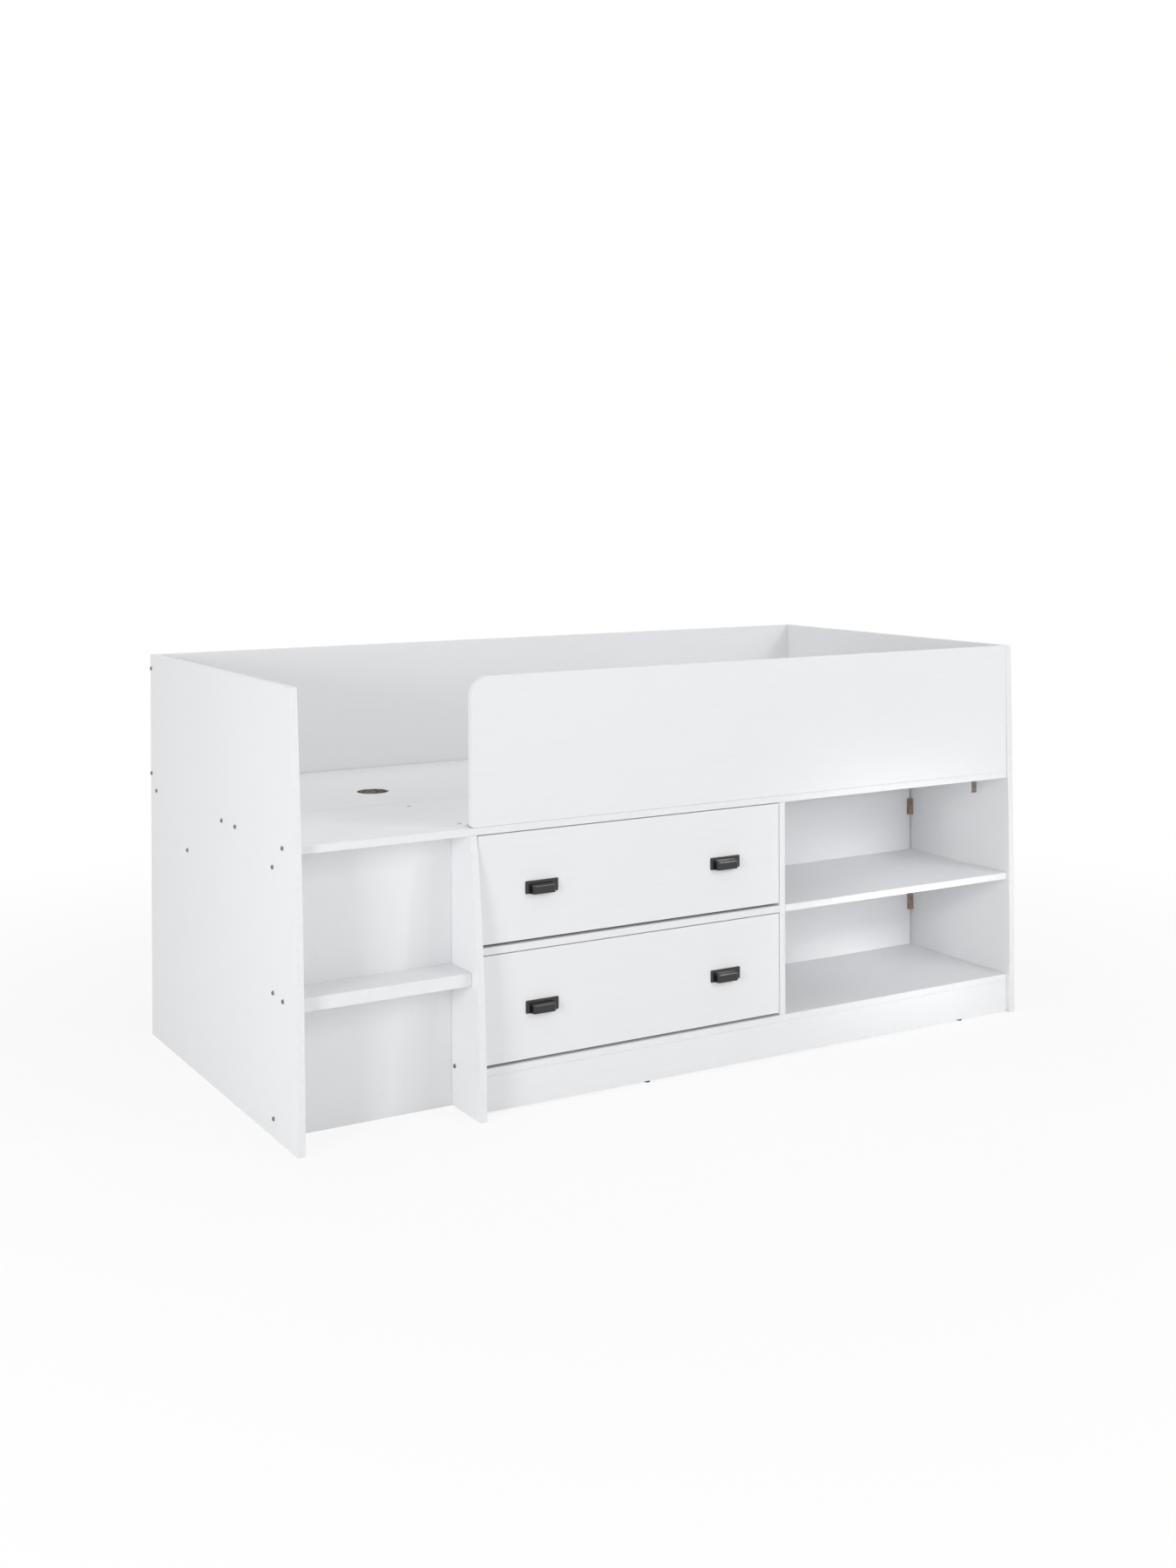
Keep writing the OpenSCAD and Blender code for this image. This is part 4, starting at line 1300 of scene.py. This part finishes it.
@dataclass
class HoledBoard(Board):
    """A deck board with a round hole, raw inside under a thin pale rim."""

    from_left: float = 0.410
    from_joint: float = 0.187
    radius: float = 0.038
    past: float = 0.005
    coating: float = 0.0007
    sides: int = 96
    wall_cosine: float = 0.3

    def middle(self) -> Vector:
        """Gives the middle of the round hole at the deck's underside."""
        low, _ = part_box(self.node)
        return Vector((low.x + self.from_left, low.y - self.joint + self.from_joint, low.z))

    def on_wall(self, middle: Vector, normal: Vector) -> bool:
        """Says whether a face belongs to the hole's wall."""
        away = middle - self.middle()
        near = math.hypot(away.x, away.y) < self.radius + NEAR
        return near and abs(normal.z) < self.wall_cosine

    def levels(self) -> tuple[float, float]:
        """Gives the heights between which the hole's wall is bare, the upper one first."""
        low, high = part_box(self.node)
        return high.z - self.coating, low.z + self.coating

    def shape(self) -> Piece:
        """Cuts the board and its hole, and parts the hole's wall under each coating.

        Returns:
            The board.
        """
        piece = super().shape()
        low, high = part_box(self.node)
        start = self.middle() - Vector((0, 0, self.past))
        length = high.z - low.z + 2 * self.past
        cutter = new_round(
            "hole_cutter", start, Axis.HEIGHT, length, self.radius, sides=self.sides
        )
        cut(piece, cutter)
        with editing(piece):
            for height in self.levels():
                pick(piece, Part.FACE, self.on_wall)
                bpy.ops.mesh.bisect(plane_co=(0, 0, height), plane_no=(0, 0, 1))
        return piece

    def surface(self, middle: Vector, normal: Vector) -> Surface:
        """Chooses the finish of a face.

        Args:
            middle: The face's middle.
            normal: The face's normal.

        Returns:
            The finish, the hole's wall being bare between its coatings.
        """
        if not self.on_wall(middle, normal):
            return super().surface(middle, normal)
        upper, lower = self.levels()
        return Surface.RAW if lower < middle.z < upper else Surface.COATED


@dataclass
class SleepingDeck:
    """The deck boards, the beam and cleats under them and the back board behind them."""

    rear_joint: float = 0.001

    def build(self) -> None:
        """Builds the deck and what carries it."""
        long, front = Axis.LENGTH, (Facing.FRONT,)
        SeatedBoard("front_deck_board", Axis.HEIGHT, long, front, seated=Axis.HEIGHT).build()
        HoledBoard("rear_deck_board", Axis.HEIGHT, long, joint=self.rear_joint).build()
        SeatedBoard("back_board", Axis.DEPTH, long, (Facing.UP, Facing.DOWN)).build()
        Board("rear_deck_beam", Axis.DEPTH, long, (Facing.DOWN,)).build()
        for node in ("left_deck_cleat", "right_deck_cleat"):
            Board(node, long, Axis.DEPTH, (Facing.DOWN,)).build()


@dataclass
class RailBoard(Board):
    """The guard rail's board, with two rounded left corners."""

    corner: float = 0.045
    foot_corner: float = 0.006

    def shape(self) -> Piece:
        """Cuts the board and rounds its left corners and its edges.

        Returns:
            The board.
        """
        low, high = self.corners()
        piece = new_block(f"{self.node}_piece", low, high)
        for height, radius, steps in ((high.z, self.corner, 18), (low.z, self.foot_corner, 6)):
            bevel(piece, line_at(low.x, height), radius, steps)
        round_edges(piece, self.rounding)
        return piece


@dataclass
class GuardRail:
    """The rail along the deck's front and the angle brackets behind it."""

    sheet: float = 0.002
    bracket_corner: float = 0.003
    rounding: float = 0.0003

    def bracket(self, width: float, leg: float) -> Piece:
        """Folds one bracket from sheet.

        Args:
            width: Its width.
            leg: The length of each leg.

        Returns:
            The bracket, its fold at the origin.
        """
        piece = new_sheet("bracket_pattern", (0, leg / 2, 0), (width, leg))
        with editing(piece):
            pick(piece, Part.EDGE, lambda a, b: max(a.y, b.y) < NEAR)
            pull_out(0, 0, leg)
            pick(piece, Part.VERT, lambda p: p.y > leg - NEAR or p.z > leg - NEAR)
            bpy.ops.mesh.bevel(offset=self.bracket_corner, segments=5, affect="VERTICES")
            turn_outwards()
            lying = [f for f in bmesh.from_edit_mesh(piece.data).faces if f.normal.z > 0.5]
            if lying:
                flip_faces()
        thicken(piece, self.sheet)
        round_edges(piece, self.rounding)
        return piece

    def build_brackets(self) -> None:
        """Copies one bracket to each place behind the rail."""
        boxes = solid_boxes("rail_brackets")
        size = boxes[0][1] - boxes[0][0]
        pattern = self.bracket(size.x, size.y)
        copies = [
            copy_of(
                pattern, "bracket", Matrix.Translation(((low.x + high.x) / 2, low.y, low.z))
            )
            for low, high in boxes
        ]
        discard(pattern)
        complete(join(copies, "rail_brackets_piece"), "rail_brackets", SheetSteel())

    def build(self) -> None:
        """Builds the rail and its brackets."""
        RailBoard("guard_rail", Axis.DEPTH, Axis.LENGTH, (Facing.LEFT, Facing.UP)).build()
        self.build_brackets()


@dataclass
class StepNook:
    """The nook at the left end: its divider, its back panel and the thick step."""

    rises: int = 20
    step_rounding: float = 0.0010

    def build(self) -> None:
        """Builds the divider, the back panel and the step."""
        FlaredBoard(
            "nook_divider",
            Axis.LENGTH,
            Axis.HEIGHT,
            (Facing.FRONT, Facing.DOWN),
            front_plane=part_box("plinth")[0].y,
            rises=self.rises,
        ).build()
        Board("nook_back_panel", Axis.DEPTH, Axis.HEIGHT, (Facing.DOWN,)).build()
        Board("step_board", Axis.HEIGHT, Axis.LENGTH, (Facing.FRONT,), self.step_rounding).build()


@dataclass
class StorageUnit:
    """The carcass of the drawers and open bays, with its plinth, glides and joint blocks."""

    block_edge: float = 0.0015
    block_rim: float = 0.0015
    pocket_slope: float = 0.0003
    block_pocket: float = 0.0007
    block_rounding: float = 0.0002
    glide_round: float = 0.0008
    pin_start: float = 0.002
    pin_radius: float = 0.0025
    plinth_joint: float = 0.0001

    def block(self, low: Vector, high: Vector, upright: bool) -> Piece:
        """Moulds a joint block with one sloped edge and shallow pockets in its open faces.

        Args:
            low: The block's lowest corner.
            high: The block's highest corner.
            upright: True where it stands in a bay's corner, and not under a shelf.

        Returns:
            The block.
        """
        left_front = (Vector((-1, 0, 0)), Vector((0, -1, 0)))
        under_rear = (Vector((0, 1, 0)), Vector((0, 0, -1)))
        ways = left_front if upright else under_rear
        piece = new_block("joint_block", low, high)
        middle, half = (low + high) / 2, (high - low) / 2

        def on_sides(a: Vector, b: Vector) -> bool:
            """Says whether an edge lies in both open sides."""
            return all(
                (p - middle).dot(way) > abs(half.dot(way)) - NEAR for p in (a, b) for way in ways
            )

        bevel(piece, on_sides, self.block_edge, 1)
        with editing(piece):
            pick(piece, Part.FACE, lambda c, n: any(n.dot(way) > FACE_COSINE for way in ways))
            inset(((self.block_rim, 0.0), (self.pocket_slope, -self.block_pocket)))
        round_edges(piece, self.block_rounding)
        return piece

    def build_blocks(self) -> None:
        """Moulds all joint blocks."""
        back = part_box("unit_back_panel")[0].y
        blocks = [
            self.block(low, high, abs(high.y - back) < 2 * NEAR)
            for low, high in solid_boxes("joint_blocks")
        ]
        complete(join(blocks, "joint_blocks_piece"), "joint_blocks", BROWN_PLASTIC)

    def build_glides(self) -> None:
        """Turns the glides with a rounded foot and a pin that goes up into the plinth."""
        glides = []
        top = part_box("plinth")[0].z
        for low, high in solid_boxes("plinth_glides"):
            x, y, _ = (low + high) / 2
            radius = (high.x - low.x) / 2
            foot = new_round("foot", (x, y, low.z), Axis.HEIGHT, top - low.z, radius)
            bevel(foot, under(low.z + NEAR), self.glide_round, 3)
            bevel(foot, over(top - NEAR), self.glide_round / 4, 1)
            start, length = low.z + self.pin_start, high.z - low.z - self.pin_start
            pin = new_round("pin", (x, y, start), Axis.HEIGHT, length, self.pin_radius)
            glides.extend([foot, pin])
        complete(join(glides, "plinth_glides_piece"), "plinth_glides", BLACK_PLASTIC)

    def build(self) -> None:
        """Builds the carcass boards and fittings."""
        for node in ("bottom_board", "drawer_bay_shelf", "open_bay_shelf"):
            Board(node, Axis.HEIGHT, Axis.LENGTH, (Facing.FRONT,)).build()
        Board("middle_divider", Axis.LENGTH, Axis.HEIGHT, (Facing.FRONT,)).build()
        Board("plinth", Axis.DEPTH, Axis.LENGTH, (Facing.DOWN,), joint=self.plinth_joint).build()
        sides = (Facing.LEFT, Facing.RIGHT, Facing.DOWN)
        SeatedBoard("unit_back_panel", Axis.DEPTH, Axis.LENGTH, sides).build()
        self.build_blocks()
        self.build_glides()


@dataclass
class CupPull:
    """A black cup pull: a thin plate and a tapered cup that is open below."""

    plate_width: float = 0.081
    plate_height: float = 0.028
    plate_thickness: float = 0.002
    plate_corner: float = 0.0025
    plate_rounding: float = 0.0004
    cup_width: float = 0.060
    cup_height: float = 0.0225
    reach: float = 0.015
    taper: float = math.radians(12.0)
    wall: float = 0.0018
    corner: float = 0.0037
    rounding: float = 0.0003
    rounded_angle: float = 50.0
    boss_radius: float = 0.0035
    boss_reach: float = 0.009
    boss_overlap: float = 0.0005
    boss_spread: float = 0.02266
    boss_height: float = -0.00275

    def plate(self) -> Piece:
        """Models the plate with rounded corners and softened front edges.

        Returns:
            The plate, its back in the plane of the drawer front.
        """
        thick, w, h = self.plate_thickness, self.plate_width / 2, self.plate_height / 2
        piece = new_block("plate", (-w, -thick, -h), (w, 0, h))
        bevel(piece, lambda a, b: abs(a.y - b.y) > thick / 2, self.plate_corner, 6)
        round_edges(piece, self.plate_rounding, 3)
        return piece

    def cup(self) -> Piece:
        """Models the cup: a block that narrows forwards, rounded, then hollowed from below.

        Returns:
            The cup on its plate.
        """
        w, low = self.cup_width / 2, -self.plate_height / 2
        top, front = self.cup_height + low, -self.reach
        narrower = self.reach * math.tan(self.taper)
        piece = new_block("cup", (-w, front, low), (w, 0, top))
        with editing(piece):
            pick(piece, Part.VERT, lambda p: p.y < front + NEAR)
            bpy.ops.transform.resize(
                value=((w - narrower) / w, 1, 1), center_override=(0, front, 0)
            )
            pick(piece, Part.VERT, lambda p: p.y < front + NEAR and p.z > top - NEAR)
            bpy.ops.transform.translate(value=(0, 0, -narrower))
        bevel(
            piece,
            lambda a, b: min(a.y, b.y) <= -NEAR and max(a.z, b.z) >= low + NEAR,
            self.corner,
            6,
        )
        with editing(piece):
            pick(piece, Part.FACE, lambda c, n: n.z < -FACE_COSINE or n.y > FACE_COSINE)
            bpy.ops.mesh.delete(type="FACE")
        thicken(piece, self.wall)
        round_edges(piece, self.rounding, angle=self.rounded_angle)
        return piece

    def boss(self, side: int) -> Piece:
        """Models the screw boss inside the cup on one side, -1 or 1."""
        front = -self.plate_thickness - self.boss_reach
        start = (side * self.boss_spread, front, self.boss_height)
        length = self.boss_reach + self.boss_overlap
        piece = new_round("boss", start, Axis.DEPTH, length, self.boss_radius)
        round_edges(piece, self.rounding)
        return piece

    def pattern(self) -> Piece:
        """Models one cup pull round the middle of its plate.

        Returns:
            The pull, dressed.
        """
        parts = [self.plate(), self.cup(), self.boss(-1), self.boss(1)]
        piece = join(parts, "cup_pull_pattern")
        smooth_shading(piece, self.rounded_angle)
        dress(piece, [SatinBlack()])
        return piece


@dataclass
class Runners:
    """The roller runners: a channel on the carcass and an angle on the drawer at each side."""

    sheet: float = 0.0012
    sheet_rounding: float = 0.0003
    length: float = 0.328
    channel_height: float = 0.022
    channel_reach: float = 0.0095
    flange_start: float = 0.024
    bay_air: float = 0.0125
    foot_low: float = 0.002
    foot_reach: float = 0.0140
    moving_top: float = 0.0228
    flange_reach: float = 0.0105
    axle_radius: float = 0.0025
    axle_head: float = 0.004
    head_thickness: float = 0.0008
    head_rounding: float = 0.0002
    fixed_axle: tuple[float, float] = (0.012, 0.0135)
    fixed_axle_span: tuple[float, float] = (0.0005, 0.0069)
    fixed_head_start: float = 0.0073
    moving_axle: tuple[float, float] = (0.316, 0.0105)
    moving_axle_span: tuple[float, float] = (0.0033, 0.0090)
    moving_head_start: float = 0.0029
    roller_radius: float = 0.009
    roller_width: float = 0.004
    roller_rings: tuple[tuple[float, float], ...] = (
        (0.0014, 0.0),
        (0.0003, -0.0007),
        (0.0026, 0.0),
        (0.0002, 0.0006),
    )
    roller_sides: int = 48
    bore_radius: float = 0.00255

    def folded(
        self,
        name: str,
        x: float,
        rise: tuple[float, float],
        reaches: tuple[float, float],
        start: float,
    ) -> Piece:
        """Folds a runner from sheet: an upright web with a flange at its foot and one at its top.

        Args:
            name: The piece's name.
            x: The web's place from the carcass.
            rise: The web's lower and upper edge.
            reaches: The lower and upper flange's reach, positive away from the carcass.
            start: Where the upper flange starts along the runner.

        Returns:
            The folded surface, without its thickness.
        """
        low, high = rise
        middle = (x, self.length / 2, (low + high) / 2)
        piece = new_sheet(name, middle, (high - low, self.length), (0, math.pi / 2, 0))
        with editing(piece):
            for height, reach in zip(rise, reaches):
                pick(piece, Part.EDGE, line_at(x, height))
                pull_out(reach, 0, 0)
            if start > 0:
                pick(piece, Part.FACE, level_at(high))
                bpy.ops.mesh.bisect(plane_co=(0, start, 0), plane_no=(0, 1, 0))
                pick(piece, Part.FACE, level_at(high, start))
                bpy.ops.mesh.delete(type="FACE")
            turn_outwards()
        return piece

    def give_thickness(self, piece: Piece, web_side: float) -> None:
        """Gives a folded surface its thickness behind the side that it was drawn on.

        Args:
            piece: The folded surface.
            web_side: Plus one where the drawn side of the web faces +X, or minus one.
        """
        web = max(piece.data.polygons, key=lambda face: abs(face.normal.x) * face.area)
        if web.normal.x * web_side < 0:
            with editing(piece):
                flip_faces()
        thicken(piece, self.sheet)
        round_edges(piece, self.sheet_rounding)

    def with_axle(
        self,
        piece: Piece,
        place: tuple[float, float],
        span: tuple[float, float],
        head_start: float,
        name: str,
    ) -> Piece:
        """Adds a roller's axle and its head to a runner.

        Args:
            piece: The runner.
            place: The axle's place along the depth and in height.
            span: The axle's start and length.
            head_start: The head's start.
            name: The joined runner's name.

        Returns:
            The joined runner.
        """
        start, length = span
        axle = new_round("axle", (start, *place), Axis.LENGTH, length, self.axle_radius)
        head = new_round(
            "axle_head", (head_start, *place), Axis.LENGTH, self.head_thickness, self.axle_head
        )
        round_edges(head, self.head_rounding)
        return join([piece, axle, head], name)

    def fixed_pattern(self) -> Piece:
        """Models the left channel with its axle, from the carcass face inwards.

        Returns:
            The channel at its own corner.
        """
        rise, reaches = (0.0, self.channel_height), (self.channel_reach, self.channel_reach)
        channel = self.folded("channel", 0.0, rise, reaches, self.flange_start)
        self.give_thickness(channel, -1.0)
        return self.with_axle(
            channel,
            self.fixed_axle,
            self.fixed_axle_span,
            self.fixed_head_start,
            "fixed_runner_pattern",
        )

    def moving_pattern(self) -> Piece:
        """Models the left drawer angle with its axle, from the carcass face inwards.

        Returns:
            The angle at its own corner.
        """
        rise = (self.foot_low + self.sheet, self.moving_top + self.sheet)
        angle = self.folded(
            "angle", self.bay_air, rise, (self.foot_reach, -self.flange_reach), 0.0
        )
        self.give_thickness(angle, 1.0)
        return self.with_axle(
            angle,
            self.moving_axle,
            self.moving_axle_span,
            self.moving_head_start,
            "moving_runner_pattern",
        )

    def roller_pattern(self) -> Piece:
        """Turns one roller with sunk webs and a raised hub round its bore.

        Returns:
            The roller round the origin, its axis along the bed.
        """
        width, radius = self.roller_width, self.roller_radius
        start = (-width / 2, 0, 0)
        piece = new_round(
            "roller_pattern", start, Axis.LENGTH, width, radius, sides=self.roller_sides
        )
        with editing(piece):
            pick(piece, Part.FACE, lambda c, n: abs(n.x) > FACE_COSINE)
            rest = radius - sum(ring for ring, _ in self.roller_rings) - self.bore_radius
            inset((*self.roller_rings, (rest, 0.0)))
            bpy.ops.mesh.bridge_edge_loops()
            turn_outwards()
        round_edges(piece, self.sheet_rounding, angle=40.0)
        return piece

    def place(self, pattern: Piece, node: str, side: Side, finish: Finish, centred: bool) -> None:
        """Copies a pattern to a node's place, mirrored on the right side.

        Args:
            pattern: The piece to copy.
            node: The CAD node that the copy stands for.
            side: The side of the bay.
            finish: The copy's finish.
            centred: True for a roller, whose pattern lies round the origin.
        """
        low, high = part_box(node)
        if centred:
            move = Matrix.Translation((low + high) / 2)
        else:
            corner, _ = extent([v.co for v in pattern.data.vertices])
            x = low.x - corner.x if side is Side.LEFT else high.x + corner.x
            move = Matrix.Translation((x, low.y - corner.y, low.z - corner.z))
        piece = copy_of(pattern, f"{node}_piece", move @ Matrix.Diagonal((side.value, 1, 1, 1)))
        with editing(piece):
            turn_outwards()
        complete(piece, node, finish)

    def build(self) -> None:
        """Builds all runners and rollers of both drawers."""
        channel, angle, roller = self.fixed_pattern(), self.moving_pattern(), self.roller_pattern()
        for level in Level:
            for side in Side:
                word = side.name.lower()
                fixed, moving = f"{level.value}_{word}_fixed", f"{level.value}_drawer_{word}"
                for start, runner in ((fixed, channel), (moving, angle)):
                    self.place(runner, f"{start}_runner", side, SheetSteel(), False)
                    self.place(roller, f"{start}_roller", side, NYLON, True)
        discard(channel, angle, roller)


@dataclass
class Drawer:
    """One drawer: its front, its box and its two cup pulls."""

    level: Level
    front_rounding: float = 0.0005
    front_drop: float = 0.0013
    sheet_rounding: float = 0.0004

    def board(self, part: str, across: Axis, *banded: Facing, **sizes: float) -> None:
        """Builds one board of the drawer."""
        grain = Axis.DEPTH if across is Axis.LENGTH else Axis.LENGTH
        Board(self.node(part), across, grain, banded, **sizes).build()

    def node(self, part: str) -> str:
        """Gives the full name of one of this drawer's nodes."""
        return f"{self.level.value}_drawer_{part}"

    def build_box(self) -> None:
        """Builds the front, sides, back and bottom."""
        ends = (Facing.UP, Facing.DOWN)
        sizes = {"rounding": self.front_rounding, "joint": 0.0, "drop": self.front_drop}
        self.board("front", Axis.DEPTH, Facing.LEFT, Facing.RIGHT, *ends, **sizes)
        for part in ("left_side", "right_side"):
            self.board(part, Axis.LENGTH, *ends, Facing.REAR)
        self.board("back", Axis.DEPTH, *ends)
        self.board("bottom", Axis.HEIGHT, rounding=self.sheet_rounding)

    def hang_pulls(self, pattern: Piece) -> None:
        """Copies the cup pull to both of its places.

        Args:
            pattern: The pull, round the middle of its plate.
        """
        for node in (self.node("left_handle"), self.node("right_handle")):
            low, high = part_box(node)
            move = Matrix.Translation(((low.x + high.x) / 2, high.y, (low.z + high.z) / 2))
            install(copy_of(pattern, f"{node}_piece", move), node)

    def build(self, pull: Piece) -> None:
        """Builds the drawer."""
        self.build_box()
        self.hang_pulls(pull)


# Studio


@dataclass(frozen=True)
class Lamp:
    """One soft lamp: where it hangs, what it faces, and its size, power and spread in degrees."""

    name: str
    place: Tone
    aim: Tone
    size: float
    power: float
    spread: float = 180.0

    def hang(self) -> None:
        """Adds the lamp to the scene."""
        light = bpy.data.lights.new(self.name, "AREA")
        light.shape = "SQUARE"
        light.size = self.size
        light.energy = self.power
        light.spread = math.radians(self.spread)
        holder = bpy.data.objects.new(self.name, light)
        bpy.context.scene.collection.objects.link(holder)
        holder.location = self.place
        away = Vector(self.aim) - Vector(self.place)
        holder.rotation_euler = away.to_track_quat("-Z", "Y").to_euler()


class Backdrop(Graph):
    """A node tree whose surface looks white to the camera and lights the bed as it should."""

    def __init__(self, tree: bpy.types.NodeTree) -> None:
        """Empties the tree that the nodes go into."""
        super().__init__(tree)
        tree.nodes.clear()

    def seen(self) -> Socket:
        """Gives one where a camera, glossy or transmitted ray looks, and zero elsewhere."""
        rays = self.node("ShaderNodeLightPath", {}).outputs
        total = rays["Is Camera Ray"]
        for ray in ("Is Glossy Ray", "Is Transmission Ray"):
            inputs = {0: total, 1: rays[ray]}
            total = self.node("ShaderNodeMath", inputs, operation="ADD", use_clamp=True).outputs[0]
        return total

    def glow(self, kind: str, strength: float) -> Socket:
        """Adds white light of a strength, from a background or an emission node."""
        return self.node(kind, {"Color": (1, 1, 1, 1), "Strength": strength}).outputs[0]

    def finish(self, share: Socket, first: Socket, second: Socket, output: str) -> None:
        """Mixes two shaders and joins them to the tree's output."""
        mix = self.node("ShaderNodeMixShader", {"Fac": share, 1: first, 2: second})
        self.node(output, {"Surface": mix.outputs[0]})


@dataclass
class Studio:
    """A pale floor, a white surround, soft lamps and the photograph's viewpoint."""

    eye: Tone = (-2.2755, -3.8519, 1.3073)
    yaw: float = 0.5309859
    pitch: float = 0.0068176
    roll: float = -0.0038281
    lens: float = 41.101
    sensor: float = 36.0
    rise: float = -0.17195
    sight: float = 200.0
    surround: float = 0.50
    floor_tone: Tone = (0.945, 0.945, 0.945)
    floor_share: float = 0.82
    floor_size: float = 40.0
    shadow_reach: float = 1.0
    floor_end: float = 3.0
    lamps: tuple[Lamp, ...] = (
        Lamp("left_lamp", (-4.2, -2.2, 1.1), (0, 0, 0.4), 1.1, 52),
        Lamp("right_lamp", (2.2, -4.6, 2.2), (0, 0, 0.4), 2.0, 42.5),
        Lamp("glint_lamp", (3.0, -4.1, 3.3), (0, 0, 0.4), 0.5, 26),
        Lamp("top_lamp", (0, 0.4, 4.5), (0, 0, 0.4), 3.0, 37),
        Lamp("bay_lamp", (0.10, -2.3, 0.80), (0.70, -0.2, 0.27), 0.6, 0.18, 14.0),
        Lamp("high_bay_lamp", (0.00, -2.1, 1.20), (0.70, -0.35, 0.27), 0.35, 0.13, 12.0),
    )

    def build_surround(self) -> None:
        """Makes the world light the bed evenly and look white itself."""
        world = bpy.data.worlds.new("white_surround")
        bpy.context.scene.world = world
        world.use_nodes = True
        drop = Backdrop(world.node_tree)
        lighting = drop.glow("ShaderNodeBackground", self.surround)
        white = drop.glow("ShaderNodeBackground", 1.0)
        drop.finish(drop.seen(), lighting, white, "ShaderNodeOutputWorld")

    def build_floor(self) -> None:
        """Lays a pale floor that keeps the bed's soft shadow."""
        bpy.ops.mesh.primitive_plane_add(size=self.floor_size, location=(0, 0, 0))
        floor = bpy.context.active_object
        floor.name = "studio_floor"
        material = bpy.data.materials.new("pale_floor")
        material.use_nodes = True
        drop = Backdrop(material.node_tree)
        matt = drop.node("ShaderNodeBsdfDiffuse", {"Color": (*self.floor_tone, 1)}).outputs[0]
        glow = drop.glow("ShaderNodeEmission", 1.0)
        place = drop.node("ShaderNodeTexCoord", {}).outputs["Object"]
        away = drop.node("ShaderNodeVectorMath", {0: place}, operation="LENGTH")
        fade = drop.node(
            "ShaderNodeMapRange",
            {
                "From Min": self.shadow_reach,
                "From Max": self.floor_end,
                "To Min": self.floor_share,
                "To Max": 1.0,
                "Value": away.outputs["Value"],
            },
            interpolation_type="SMOOTHSTEP",
        )
        inputs = {0: drop.seen(), 1: fade.outputs["Result"]}
        share = drop.node("ShaderNodeMath", inputs, operation="MULTIPLY").outputs[0]
        drop.finish(share, matt, glow, "ShaderNodeOutputMaterial")
        floor.data.materials.append(material)

    def build_camera(self) -> None:
        """Sets the camera to the photograph's viewpoint."""
        sine, cosine, level = math.sin(self.yaw), math.cos(self.yaw), math.cos(self.pitch)
        right = Vector((cosine, -sine, 0))
        ahead = Vector((sine * level, cosine * level, -math.sin(self.pitch)))
        up = right.cross(ahead)
        turned_right = right * math.cos(self.roll) + up * math.sin(self.roll)
        turned_up = up * math.cos(self.roll) - right * math.sin(self.roll)
        turn = Matrix((turned_right, turned_up, -ahead)).transposed().to_4x4()
        lens = bpy.data.cameras.new("photograph_view")
        lens.sensor_width = self.sensor
        lens.lens = self.lens
        lens.shift_y = self.rise
        lens.clip_end = self.sight
        camera = bpy.data.objects.new("photograph_view", lens)
        bpy.context.scene.collection.objects.link(camera)
        camera.matrix_world = Matrix.Translation(self.eye) @ turn
        bpy.context.scene.camera = camera

    def build(self) -> None:
        """Builds the floor, the surround, the lamps and the camera."""
        bpy.context.scene.view_settings.view_transform = "Standard"
        self.build_surround()
        self.build_floor()
        for lamp in self.lamps:
            lamp.hang()
        self.build_camera()


def main() -> None:
    """Builds the bed, one sub-assembly after another, and its studio."""
    logging.basicConfig(level=logging.INFO, format="%(name)s: %(message)s")
    EndPanels().build()
    SleepingDeck().build()
    GuardRail().build()
    StepNook().build()
    StorageUnit().build()
    Runners().build()
    pull = CupPull().pattern()
    for level in Level:
        Drawer(level).build(pull)
    discard(pull)
    Fasteners().build()
    Studio().build()


if __name__ == "__main__":
    main()
